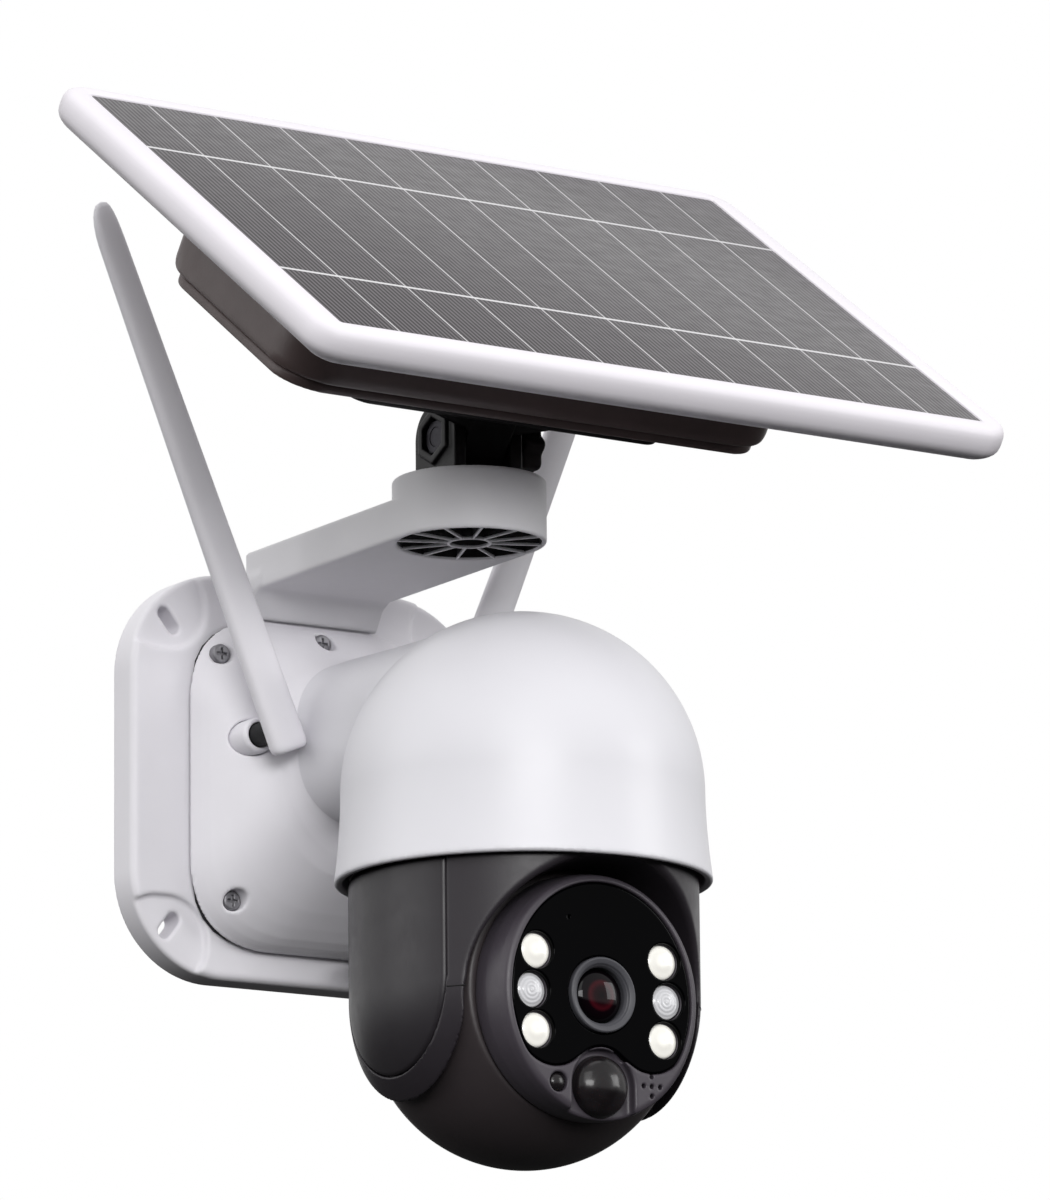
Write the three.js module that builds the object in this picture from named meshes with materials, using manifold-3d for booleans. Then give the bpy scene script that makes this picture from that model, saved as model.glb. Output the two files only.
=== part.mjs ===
// Solar-powered pan and tilt security camera on a wall plate.
// Millimetres. The origin is the centre of the wall plate's rear face: +X right as seen from the
// front, -Y out of the wall towards the viewer, +Z up.
import * as THREE from "three";
import { mergeVertices } from "three/addons/utils/BufferGeometryUtils.js";
import Module from "manifold-3d";

const wasm = await Module();
wasm.setup();

// ---------------------------------------------------------------- driving dimensions
const GAP = 0.3; // between touching parts

// wall plate and base housing
const PLATE_HALF = 66.5;
const PLATE_THICK = 12.6;
const PLATE_CORNER = 34;
const PAD_INNER_X = 39;
const PAD_INNER_Z = 40.5;
const PAD_DEPTH = 2;
const SLOT_AT = [51.9, 50];
const HOUSING_HALF_X = 46.5;
const HOUSING_HALF_Z = 54;
const HOUSING_Z = -2.5;
const HOUSING_CORNER = 20;
const HOUSING_SCREWS = [[-38, 38.6], [38, 38.6], [-34.2, -42], [34.2, -42], [0, 45.6]];
const SCREW_SEAT = 18.5; // distance of the screw heads' seats from the wall
const INLET_X = 21;

// neck and dome
const NECK_HALF_X = 21.4;
const NECK_LOW = 2.5; // height of the lower round of the neck's section
const NECK_HIGH = 14.5; // height of its upper round
const NECK_START = 24; // distance from the wall, inside the housing
const DOME_Y = -140.5;
const DOME_R = 56.8;
const DOME_CENTRE_Z = -23.9;
const RIM_R = 59;
const RIM_Z = -52.8;
const DOME_WALL = 2.6;

// pan head and ball
const TILT_Z = -92.6;
const HEAD_R = 54.5;
const HEAD_TOP = -50.5;
const EAR_Z = TILT_Z + 4.5; // the centre of the ears' round lower ends
const EAR_R = 36.8;
const COVER_R = 28.2;
const EAR_INNER_X = 42;
const HOOD_HALF_X = 43.5;
const HOOD_TOP = 40.5;
const BALL_R = 49.2;
const BALL_HALF_X = 41.5;
const FACE_DEPTH = 43.8; // from the ball's centre to the faceplate
const FACE_DROP = 1.2; // the face's features are centred this far below the tilt axis
const BEZEL_HALF_X = 34.6;
const BEZEL_TOP = 37;
const LED_R = 5.75;
const LED_SPOTS = [[-23, 12.2], [-24.5, 0], [-23, -12.2], [23, 12.2], [24.5, 0], [23, -12.2]];
const PIR_AT = [0, -28];
const PIR_R = 9.7;
const SENSOR_AT = [-16.3, -27.9];
const SPEAKER_AT = [17.5, -27];

// pan drive, one tooth of the pinion to each tooth of the gear
const GEAR_MODULE = 1.375;
const GEAR_TEETH = 32;
const PINION_TEETH = 8;
const PINION_OFFSET = (GEAR_MODULE * (GEAR_TEETH + PINION_TEETH)) / 2;

// solar arm and panel bracket
const ARM_HALF = 24.5;
const ARM_Z = 61.4;
const ARM_THICK = 13.3;
const ARM_END_Y = -110.7;
const CUP_TOP = 81.7;
const PIVOT_Z = 94.8;
const FORK_INNER = 8.5;
const FORK_OUTER = 13;
const EYE_R = 10.5;
const BOLT_R = 3;

// solar panel, in its own frame: x across, y up the slope, z out of its face, from the pivot
const PANEL_YAW = 1.9;
const PANEL_TILT = 36.05;
const PANEL_TOP = 64.8;
const FRAME_THICK = 12.6;
const FRAME_HALF_X = 130;
const FRAME_HALF_Y = 97.5;
const FRAME_Y = -1;
const CELLS_HALF_X = 120.15;
const CELLS_HALF_Y = 88.7;
const BOX_HALF_X = 93;
const BOX_HALF_Y = 49.5;
const BOX_X = -1.5;
const BOX_Y = 13.5;
const LID_BOTTOM = 20;
const LID_TOP = 23.7;
const FOOT_BOTTOM = 14;
const FOOT_HALF = [59, 18.5];
const OUTLET_R = 4;
const OUTLET_X = 58;
const OUTLET_Z = 36;
const BATTERY_R = 9.2;
const BATTERY_LENGTH = 65;

// antennas
const BLADE_X = 32;
const BLADE_Y = -46.3;
const BLADE_Z = 10;
const BLADE_LEAN = 22.4;
const BLADE_LENGTH = 178;
const BLADE_SHIFT = 1.2; // of the blade's middle from its stub, towards the other antenna

// ---------------------------------------------------------------- geometry helpers
const rad = THREE.MathUtils.degToRad;
const v2 = (x, y) => new THREE.Vector2(x, y);

function toSolid(geometry) {
  const bare = new THREE.BufferGeometry();
  const flat = geometry.index ? geometry.toNonIndexed() : geometry;
  bare.setAttribute("position", flat.getAttribute("position"));
  const merged = mergeVertices(bare, 1e-4);
  return new wasm.Manifold(
    new wasm.Mesh({
      numProp: 3,
      vertProperties: merged.getAttribute("position").array,
      triVerts: new Uint32Array(merged.index.array),
    }),
  );
}

function toGeometry(solid) {
  const mesh = solid.getMesh();
  const positions = new Float32Array(mesh.numVert * 3);
  for (let i = 0; i < mesh.numVert; i++) {
    const from = i * mesh.numProp;
    positions.set(mesh.vertProperties.subarray(from, from + 3), i * 3);
  }
  const geometry = new THREE.BufferGeometry();
  geometry.setAttribute("position", new THREE.BufferAttribute(positions, 3));
  geometry.setIndex(new THREE.BufferAttribute(new Uint32Array(mesh.triVerts), 1));
  return geometry;
}

const join = (...parts) => toGeometry(parts.map(toSolid).reduce((a, b) => a.add(b)));
const cut = (...parts) => toGeometry(parts.map(toSolid).reduce((a, b) => a.subtract(b)));
const common = (...parts) => toGeometry(parts.map(toSolid).reduce((a, b) => a.intersect(b)));

const moved = (geometry, x, y, z) => geometry.clone().translate(x, y, z);

// Drawn in the wall's plane with its height along local z: turned to stand out of the wall (-Y).
const outward = (geometry) => geometry.clone().rotateX(Math.PI / 2);
// Height along local z turned to run along +X.
const sideways = (geometry) => geometry.clone().rotateY(Math.PI / 2);

// A bar from z0 to z1 with the given radius.
function rod(radius, z0, z1, sides = 24) {
  const height = z1 - z0;
  const bar = new THREE.CylinderGeometry(radius, radius, height, sides);
  return bar.rotateX(Math.PI / 2).translate(0, 0, z0 + height / 2);
}

function brick(x0, x1, y0, y1, z0, z1) {
  const box = new THREE.BoxGeometry(x1 - x0, y1 - y0, z1 - z0);
  return box.translate((x0 + x1) / 2, (y0 + y1) / 2, (z0 + z1) / 2);
}

// A solid of revolution about z from [radius, height] points, listed from its top to its bottom.
function turned(points, sides = 40) {
  const profile = points.map(([r, z]) => v2(r, z)).reverse();
  return new THREE.LatheGeometry(profile, sides).rotateX(Math.PI / 2);
}

// A stack of closed outlines, each [height, points], skinned and capped.
function loft(rings) {
  const count = rings[0][1].length;
  const positions = rings.flatMap(([z, points]) => points.flatMap((p) => [p.x, p.y, z]));
  const index = [];
  for (let k = 0; k + 1 < rings.length; k++) {
    for (let i = 0; i < count; i++) {
      const j = (i + 1) % count;
      const low = k * count;
      const high = low + count;
      index.push(low + i, low + j, high + j, low + i, high + j, high + i);
    }
  }
  const last = (rings.length - 1) * count;
  for (const [a, b, c] of THREE.ShapeUtils.triangulateShape(rings[0][1], [])) {
    index.push(c, b, a);
  }
  for (const [a, b, c] of THREE.ShapeUtils.triangulateShape(rings.at(-1)[1], [])) {
    index.push(last + a, last + b, last + c);
  }
  const geometry = new THREE.BufferGeometry();
  geometry.setAttribute("position", new THREE.Float32BufferAttribute(positions, 3));
  geometry.setIndex(index);
  return geometry;
}

// The points of a rectangle with rounded corners, anticlockwise.
function roundedRect(halfX, halfY, radius, steps = 6) {
  const corners = [[1, 1, 0], [-1, 1, 90], [-1, -1, 180], [1, -1, 270]];
  const points = [];
  for (const [sx, sy, start] of corners) {
    for (let i = 0; i <= steps; i++) {
      const angle = rad(start + (90 * i) / steps);
      points.push(
        v2(
          sx * (halfX - radius) + radius * Math.cos(angle),
          sy * (halfY - radius) + radius * Math.sin(angle),
        ),
      );
    }
  }
  return points;
}

// A rounded block: its stations are [height, inset from the full outline].
function block(halfX, halfY, radius, stations, steps = 6) {
  return loft(
    stations.map(([z, inset]) => [
      z,
      roundedRect(halfX - inset, halfY - inset, Math.max(radius - inset, 0.4), steps),
    ]),
  );
}

// Points through an ellipse, its lower half as deep as given.
function oval(halfX, top, bottom, steps = 36) {
  return Array.from({ length: steps }, (_, i) => {
    const angle = (2 * Math.PI * i) / steps;
    const height = Math.sin(angle);
    return v2(halfX * Math.cos(angle), (height > 0 ? top : bottom) * height);
  });
}

// A plate between z0 and z1 with the outline of a THREE.Shape.
function slab(shape, z0, z1, curveSegments = 6) {
  const options = { depth: z1 - z0, bevelEnabled: false, curveSegments };
  return new THREE.ExtrudeGeometry(shape, options).translate(0, 0, z0);
}

function polygonShape(points) {
  return new THREE.Shape(points.map(([x, y]) => v2(x, y)));
}

// A spur gear with slim teeth, so that it runs with backlash.
function gearShape(teeth) {
  const pitch = (GEAR_MODULE * teeth) / 2;
  const step = (2 * Math.PI) / teeth;
  const points = [];
  for (let i = 0; i < teeth; i++) {
    const middle = i * step;
    for (const [radius, part] of [
      [pitch - 1.6, -0.26],
      [pitch + 1, -0.11],
      [pitch + 1, 0.11],
      [pitch - 1.6, 0.26],
    ]) {
      const angle = middle + part * step;
      points.push([radius * Math.cos(angle), radius * Math.sin(angle)]);
    }
  }
  return polygonShape(points);
}

// A pan-head screw along z, its head above z = 0, with a cross recess.
function screw(headR, headHeight, shankR, shankLength) {
  const head = turned([[0, headHeight], [headR * 0.7, headHeight], [headR, headHeight * 0.45],
    [headR, 0], [shankR, 0], [shankR, -shankLength], [0, -shankLength]], 16);
  const slot = headR * 0.58;
  const bottom = headHeight - 0.8;
  const across = brick(-slot, slot, -0.4, 0.4, bottom, headHeight + 1);
  const down = brick(-0.4, 0.4, -slot, slot, bottom, headHeight + 1);
  return cut(head, across, down);
}

// ---------------------------------------------------------------- materials
const plastic = (color, roughness) =>
  new THREE.MeshStandardMaterial({ color, roughness, metalness: 0 });
const metal = (color, roughness) =>
  new THREE.MeshStandardMaterial({ color, roughness, metalness: 1 });

const whiteShell = plastic(0xe6e5e9, 0.42);
const whiteGloss = plastic(0xeeedf2, 0.28);
const charcoal = plastic(0x2b2a2e, 0.45);
const charcoalCover = plastic(0x302f34, 0.4);
const blackGloss = plastic(0x050507, 0.08);
const boxBrown = plastic(0x241e20, 0.5);
const bracketBlack = plastic(0x131114, 0.5);
const rubber = plastic(0x18181a, 0.8);
const innerPlastic = plastic(0x8d8f93, 0.6);
const boardGreen = plastic(0x1b4d2b, 0.5);
const steel = metal(0xb9bbc0, 0.3);
const darkSteel = metal(0x55565a, 0.4);
const lensRing = plastic(0x56565c, 0.45);
const lensGlass = plastic(0x12060c, 0.03);
const ledWhite = plastic(0xf4f1df, 0.25);
const ledClear = plastic(0xcfd0d4, 0.15);
const pirLens = plastic(0x2a2629, 0.22);
const cellGlass = plastic(0x2b2733, 0.18);
const batteryWrap = plastic(0x2f62a8, 0.4);

const product = new THREE.Group();
product.name = "solar_security_camera";

function group(name, parent, at = [0, 0, 0]) {
  const made = new THREE.Group();
  made.name = name;
  made.position.set(...at);
  parent.add(made);
  return made;
}

function piece(parent, name, geometry, material) {
  geometry.computeVertexNormals();
  const mesh = new THREE.Mesh(geometry, material);
  mesh.name = name;
  parent.add(mesh);
  return mesh;
}

// ---------------------------------------------------------------- wall plate and base housing
const base = group("base", product);

function buildWallPlate() {
  const body = block(PLATE_HALF, PLATE_HALF, PLATE_CORNER,
    [[0, 1], [1, 0], [10.6, 0], [12, 0.9], [PLATE_THICK, 2.6]], 6);
  const padX = 16;
  const padZ = 14.5;
  const cutters = [];
  for (const sx of [-1, 1]) {
    for (const sz of [-1, 1]) {
      const floor = PLATE_THICK - PAD_DEPTH;
      const pad = block(padX, padZ, 14, [[floor, 0.6], [floor + 0.6, 0], [PLATE_THICK + 2, 0]], 5);
      cutters.push(moved(pad, sx * (PAD_INNER_X + padX), sz * (PAD_INNER_Z + padZ), 0));
      const slot = block(5, 2.3, 2.3, [[-1, 0], [PLATE_THICK + 1, 0]], 4);
      slot.rotateZ(rad(sx * sz * 52));
      cutters.push(moved(slot, sx * SLOT_AT[0], sz * SLOT_AT[1], 0));
    }
  }
  return outward(cut(body, ...cutters));
}
piece(base, "wall_plate", buildWallPlate(), whiteShell);

const gasketTop = PLATE_THICK + GAP + 1.3;
function buildGasket() {
  const stations = [[PLATE_THICK + GAP, 0], [gasketTop, 0]];
  const outer = block(HOUSING_HALF_X - 2, HOUSING_HALF_Z - 2, HOUSING_CORNER - 2, stations, 5);
  const through = [[PLATE_THICK, 0], [gasketTop + 1, 0]];
  const inner = block(HOUSING_HALF_X - 5, HOUSING_HALF_Z - 5, HOUSING_CORNER - 5, through, 5);
  const ring = moved(cut(outer, inner), 0, HOUSING_Z, 0);
  const holes = HOUSING_SCREWS.map(([x, z]) => rod(2.4, 0, 30, 12).translate(x, z, 0));
  return outward(cut(ring, ...holes));
}
piece(base, "housing_gasket", buildGasket(), rubber);

// Section of the neck: two rounds joined by straight flanks.
function neckSection(inset, drop) {
  const radius = NECK_HALF_X - inset;
  const points = [];
  for (let i = 0; i <= 8; i++) {
    const angle = rad((180 * i) / 8);
    points.push(v2(radius * Math.cos(angle), NECK_HIGH - drop + radius * Math.sin(angle)));
  }
  for (let i = 0; i <= 8; i++) {
    const angle = rad(180 + (180 * i) / 8);
    points.push(v2(radius * Math.cos(angle), NECK_LOW + radius * Math.sin(angle)));
  }
  return points;
}

const SOCKET_R = 5.8;
const housingBack = gasketTop + GAP;
function buildHousing() {
  const cushion = block(HOUSING_HALF_X, HOUSING_HALF_Z, HOUSING_CORNER,
    [[housingBack, 0.9], [housingBack + 1, 0], [18.6, 0.2], [21, 1.4], [24, 4.4], [28, 9.6],
      [32, 15.6], [35.5, 21], [37.7, 26]]);
  const hollow = block(HOUSING_HALF_X - 6, HOUSING_HALF_Z - 6, HOUSING_CORNER - 6,
    [[housingBack - 1, 0], [18.4, 0], [20.4, 6]], 4);
  const bosses = HOUSING_SCREWS.map(([x, z]) => rod(6, 0, 30, 16).translate(x, z, 0));
  const inside = cut(moved(hollow, 0, HOUSING_Z, 0), ...bosses);
  const cutters = [rod(12, housingBack - 1, 40, 24).translate(0, 9, 0)];
  for (const [x, z] of HOUSING_SCREWS) {
    cutters.push(rod(3.6, SCREW_SEAT, 40, 20).translate(x, z, 0));
    cutters.push(rod(1.9, 0, 40, 12).translate(x, z, 0));
  }
  for (const side of [-1, 1]) {
    cutters.push(rod(SOCKET_R + GAP, 22.5, 40, 24).translate(side * BLADE_X, BLADE_Z, 0));
  }
  const neckSeat = loft([[NECK_START - GAP, neckSection(-GAP, 0)], [50, neckSection(-GAP, 0.3)]]);
  return outward(cut(moved(cushion, 0, HOUSING_Z, 0), inside, ...cutters, neckSeat));
}
piece(base, "base_housing", buildHousing(), whiteShell);

HOUSING_SCREWS.forEach(([x, z], i) => {
  const made = screw(3.2, 2, 1.6, SCREW_SEAT - PLATE_THICK - GAP);
  piece(base, `housing_screw_${i + 1}`, outward(made.translate(x, z, SCREW_SEAT + 0.1)), darkSteel);
});

// The socket each antenna turns in, set into the housing.
for (const [name, side] of [["left", -1], ["right", 1]]) {
  const ring = turned([[4.1, 34.4], [5.1, 34.4], [SOCKET_R, 33.6], [SOCKET_R, 22.8], [4.1, 22.8],
    [4.1, 34.4]], 24);
  piece(base, `antenna_socket_${name}`, outward(moved(ring, side * BLADE_X, BLADE_Z, 0)),
    whiteShell);
}

// Power inlet under the housing, closed with a rubber cap that has a pull tab.
function buildInlet() {
  const cap = turned([[0, 5.2], [6, 5.2], [6, 1.4], [5.2, 0.3], [4, 0], [0, 0]], 24);
  const tab = block(5, 1.6, 1.4, [[0.4, 0], [1.8, 0]], 3).translate(7.5, 0, 0);
  return join(cap, tab).translate(INLET_X, -19.2, HOUSING_Z - HOUSING_HALF_Z - 5.6);
}
piece(base, "power_inlet", buildInlet(), rubber);

// ---------------------------------------------------------------- neck and dome
function domeBody(shrink, end) {
  const radius = DOME_R - shrink;
  const points = [];
  for (let i = 0; i <= 9; i++) {
    const angle = rad(90 - (90 * i) / 9);
    points.push([radius * Math.cos(angle), DOME_CENTRE_Z + radius * Math.sin(angle)]);
  }
  points.push([radius + 1, -42], [RIM_R - shrink, end], [0, end]);
  points[0][0] = 0;
  return moved(turned(points), 0, DOME_Y, 0);
}

function buildDome() {
  const outer = loft([[NECK_START, neckSection(0, 0)], [50, neckSection(0, 0.3)],
    [76, neckSection(0, 1.3)], [100, neckSection(0, 1.9)], [114, neckSection(0.4, 4)],
    [126, neckSection(2, 8)]]);
  const inner = loft([[NECK_START - 1, neckSection(2.6, 0.4)], [100, neckSection(2.6, 2.2)],
    [114, neckSection(3.2, 4.5)], [124, neckSection(5, 9)]]);
  const skin = join(domeBody(0, RIM_Z), outward(outer));
  return cut(skin, domeBody(DOME_WALL, RIM_Z - 1), outward(inner));
}
piece(base, "dome_shell", buildDome(), whiteGloss);

// ---------------------------------------------------------------- works inside the dome
const works = group("works", base, [0, DOME_Y, 0]);
const CHASSIS_Z = -33.5;
const HUB_R = 12.5;
piece(works, "chassis_plate",
  cut(rod(52.6, CHASSIS_Z, CHASSIS_Z + 3, 40), rod(HUB_R + 0.3, -40, -20, 32),
    rod(8, -40, -20, 20).translate(-32, 0, 0)),
  innerPlastic);
piece(works, "pan_motor", rod(12, -21.8, -8, 28).translate(0, PINION_OFFSET, 0), steel);
piece(works, "main_board",
  block(30, 22, 3, [[0, 0], [1.6, 0]], 2).translate(0, -4, 2), boardGreen);

// ---------------------------------------------------------------- pan head
const pan = group("pan", product, [0, DOME_Y, 0]);

// The U of a side cover in the y-z plane, open at the top of the head.
function coverShape(radius, top) {
  const shape = new THREE.Shape();
  shape.moveTo(top, -radius);
  shape.lineTo(EAR_Z, -radius);
  shape.absarc(EAR_Z, 0, radius, rad(270), rad(90), true);
  shape.lineTo(top, radius);
  shape.closePath();
  return shape;
}

// Extruded along +X from x0 to x1: the shape's x is the height, its y the depth.
function earSlab(shape, x0, x1) {
  const basis = new THREE.Matrix4().makeBasis(
    new THREE.Vector3(0, 0, 1),
    new THREE.Vector3(0, 1, 0),
    new THREE.Vector3(-1, 0, 0),
  );
  return slab(shape, -x1, -x0, 14).applyMatrix4(basis);
}

// The round lower end of the head's profile, listed downwards.
function headRound(inset) {
  const radius = HEAD_R - inset;
  const points = Array.from({ length: 9 }, (_, i) => {
    const angle = rad((90 * i) / 8);
    return [radius * Math.cos(angle), TILT_Z + 3 - radius * Math.sin(angle)];
  });
  points[8][0] = 0;
  return points;
}

function buildPanBody() {
  const drum = turned([[0, -38], [50.5, -38], [52.5, -40], [52.5, -49.5], [HEAD_R - 0.6, HEAD_TOP],
    ...headRound(0)], 48);
  const keep = join(
    earSlab(coverShape(EAR_R, -30), -60, 60),
    brick(-60, 60, -60, 60, TILT_Z, -30),
  );
  const room = common(
    new THREE.SphereGeometry(BALL_R + 1, 28, 14).rotateX(Math.PI / 2).translate(0, 0, TILT_Z),
    brick(-EAR_INNER_X, EAR_INNER_X, -60, 60, TILT_Z - 60, TILT_Z + 60),
  );
  const under = brick(-EAR_INNER_X, EAR_INNER_X, -60, 60, -150, TILT_Z);
  const arch = outward(loft([[0, oval(41.6, 38.9, 41, 40)], [32, oval(41.6, 38.9, 41, 40)],
    [56, oval(HOOD_HALF_X + 1, HOOD_TOP + 1, 44, 40)]])).translate(0, 0, TILT_Z);
  const pockets = [];
  for (const side of [-1, 1]) {
    const pocket = earSlab(coverShape(COVER_R, HEAD_TOP - 2), 45.5, 60);
    const bore = sideways(rod(4.1, 30, 60, 24)).translate(0, 0, TILT_Z);
    const cutter = join(pocket, bore);
    pockets.push(side < 0 ? cutter.rotateZ(Math.PI) : cutter);
  }
  const body = cut(common(drum, keep), room, under, arch, ...pockets);
  const hub = join(rod(HUB_R, -39, CHASSIS_Z + 3.3, 32), rod(7.7, -39, -24, 24));
  return join(body, hub);
}
piece(pan, "pan_body", buildPanBody(), charcoal);

for (const [name, side] of [["left", -1], ["right", 1]]) {
  const plate = earSlab(coverShape(COVER_R - 0.35, HEAD_TOP - 2.3), 46, 60);
  const shell = cut(turned([[0, HEAD_TOP], [HEAD_R - 0.1, HEAD_TOP], ...headRound(0.1)], 48),
    turned([[0, -40], [HEAD_R - 2.6, -40], ...headRound(2.6)], 48));
  const cover = common(plate, shell);
  piece(pan, `ear_cover_${name}`, side < 0 ? cover.rotateZ(Math.PI) : cover, charcoalCover);
}

piece(pan, "pan_gear",
  cut(slab(gearShape(GEAR_TEETH), -29.9, -25), rod(8, -40, -20, 24)), innerPlastic);
piece(pan, "tilt_motor",
  sideways(rod(10.5, -49.6, -45.8, 28)).translate(0, 0, TILT_Z), steel);

const pinion = group("pinion", product, [0, DOME_Y + PINION_OFFSET, 0]);
const halfTooth = 180 / PINION_TEETH;
piece(pinion, "pan_pinion",
  join(slab(gearShape(PINION_TEETH), -29.9, -24.6), rod(1.5, -25, -22.1, 12))
    .rotateZ(rad(-90 + halfTooth)),
  steel);

// ---------------------------------------------------------------- ball with the camera
const ball = group("ball", product, [0, DOME_Y, TILT_Z]);
const inFace = (geometry) => outward(geometry).translate(0, 0, -FACE_DROP);

function faceOutline() {
  const half = [[0, -16], [4.4, -17], [8.2, -19.6], [12.5, -22.1], [16, -23], [19.5, -23],
    [23.3, -21.9], [26.9, -19.4], [29.8, -14.3], [31.9, -7], [32.5, 0]];
  for (const angle of [15, 30, 45, 60, 75]) {
    half.push([32.5 * Math.cos(rad(angle)), 35 * Math.sin(rad(angle))]);
  }
  const mirrored = half.slice(1).reverse().map(([x, y]) => [-x, y]);
  return [...half, [0, 35], ...mirrored].map(([x, y]) => v2(x, y));
}

function shrunk(points, by) {
  return points.map((p) => {
    const length = p.length();
    return v2(p.x, p.y).multiplyScalar((length - by) / length);
  });
}

const faceBack = FACE_DEPTH - 2;
function buildBezel() {
  const drum = loft([[30.5, oval(37.8, 38.8, 37.6)], [36, oval(37, 38.4, 38.2)],
    [41, oval(35.7, 37.7, 38.3)], [FACE_DEPTH, oval(BEZEL_HALF_X, BEZEL_TOP, 38)],
    [FACE_DEPTH + 0.6, oval(34, 36.4, 37.4)]]);
  const cutters = [loft([[faceBack - GAP, faceOutline()], [FACE_DEPTH + 2, faceOutline()]])];
  cutters.push(rod(30, 29, 39.5, 36), rod(12, 29, 60, 24));
  for (const [x, z] of LED_SPOTS) {
    cutters.push(rod(LED_R, 29, 60, 12).translate(x, z, 0));
  }
  const scoop = new THREE.Shape();
  scoop.absarc(PIR_AT[0], PIR_AT[1], 11.3, 0, Math.PI, false);
  scoop.lineTo(-11.3, -50);
  scoop.lineTo(11.3, -50);
  scoop.closePath();
  cutters.push(slab(scoop, 41.2, 50, 12));
  cutters.push(rod(3.1, 42.3, 50, 16).translate(SENSOR_AT[0], SENSOR_AT[1], 0));
  for (const [dx, dz] of [[0, 0], [3, 0], [-3, 0], [0, 3], [0, -3]]) {
    const hole = rod(0.75, 41, 50, 8);
    cutters.push(hole.translate(SPEAKER_AT[0] + dx, SPEAKER_AT[1] + dz, 0));
  }
  return inFace(cut(drum, ...cutters));
}
piece(ball, "face_bezel", buildBezel(), charcoal);

function buildBall() {
  const sphere = new THREE.SphereGeometry(BALL_R, 36, 20).rotateX(Math.PI / 2);
  const whole = common(sphere, brick(-BALL_HALF_X, BALL_HALF_X, -60, 60, -60, 60));
  const nose = inFace(rod(60, 30.5 - GAP, 80, 24));
  const hollow = common(
    new THREE.SphereGeometry(BALL_R - 3, 20, 10).rotateX(Math.PI / 2),
    brick(-BALL_HALF_X + 3, BALL_HALF_X - 3, -60, 60, -60, 60),
  );
  const hatch = block(9, 6, 1.5, [[40, 0], [60, 0]], 2).rotateX(rad(-125));
  const bore = sideways(rod(3.9, -60, 60, 20));
  return cut(whole, nose, hollow, hatch, bore);
}
piece(ball, "ball_shell", buildBall(), charcoal);

function buildHatch() {
  const lid = block(8.7, 5.7, 1.3, [[44, 0], [60, 0]], 2).rotateX(rad(-125));
  const crust = cut(
    new THREE.SphereGeometry(BALL_R - 0.1, 36, 20).rotateX(Math.PI / 2),
    new THREE.SphereGeometry(BALL_R - 2.4, 36, 20).rotateX(Math.PI / 2),
  );
  return common(lid, crust);
}
piece(ball, "card_hatch", buildHatch(), charcoalCover);

for (const [name, side] of [["left", -1], ["right", 1]]) {
  const pin = rod(3.8, 36, name === "left" ? 45.5 : 49, 24);
  piece(ball, `trunnion_${name}`, pin.rotateY((side * Math.PI) / 2), steel);
}

function buildFaceplate() {
  const outline = shrunk(faceOutline(), GAP);
  const body = loft([[faceBack, outline], [FACE_DEPTH, outline]]);
  const cutters = [rod(12, 30, 60, 40)];
  for (const [x, z] of LED_SPOTS) {
    cutters.push(rod(LED_R, 30, 60, 18).translate(x, z, 0));
  }
  cutters.push(rod(0.5, 30, 60, 8).translate(-11.6, 23.2, 0));
  return inFace(cut(body, ...cutters));
}
piece(ball, "faceplate", buildFaceplate(), blackGloss);

piece(ball, "lens_ring", inFace(turned([[8.6, 43.2], [9.6, 44.6], [11.2, 45.1], [11.7, 44.6],
  [11.7, 40.2], [8.6, 40.2], [8.6, 43.2]], 28)), lensRing);
piece(ball, "lens_glass", inFace(turned([[0, 43.9], [3, 43.6], [6, 42.8], [8.3, 41.4], [8.3, 39.4],
  [0, 39.4]], 24)), lensGlass);
LED_SPOTS.forEach(([x, z], i) => {
  const clear = z === 0;
  const top = clear ? 42.6 : 43;
  const lamp = turned([[0, top], [2.6, top - 0.2], [4.4, top - 0.8], [LED_R - GAP, top - 2],
    [LED_R - GAP, 39.8], [0, 39.8]], 16);
  piece(ball, `${clear ? "infrared" : "white"}_led_${i + 1}`, inFace(moved(lamp, x, z, 0)),
    clear ? ledClear : ledWhite);
});
piece(ball, "pir_lens", inFace(moved(turned([[0, 47.6], [2.6, 47.3], [5, 46.4], [7.2, 45],
  [8.8, 43.4], [PIR_R, 41.5], [0, 41.5]], 24), ...PIR_AT, 0)), pirLens);
piece(ball, "light_sensor", inFace(moved(turned([[0, 44.4], [1.7, 44.1], [2.8, 43.2], [2.8, 42.6],
  [0, 42.6]], 16), ...SENSOR_AT, 0)), pirLens);
piece(ball, "lamp_board", inFace(block(27, 24, 15, [[37.4, 0], [39, 0]], 4)), boardGreen);
piece(ball, "camera_module", inFace(rod(9.5, 18, 37.1, 28)), darkSteel);

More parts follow.
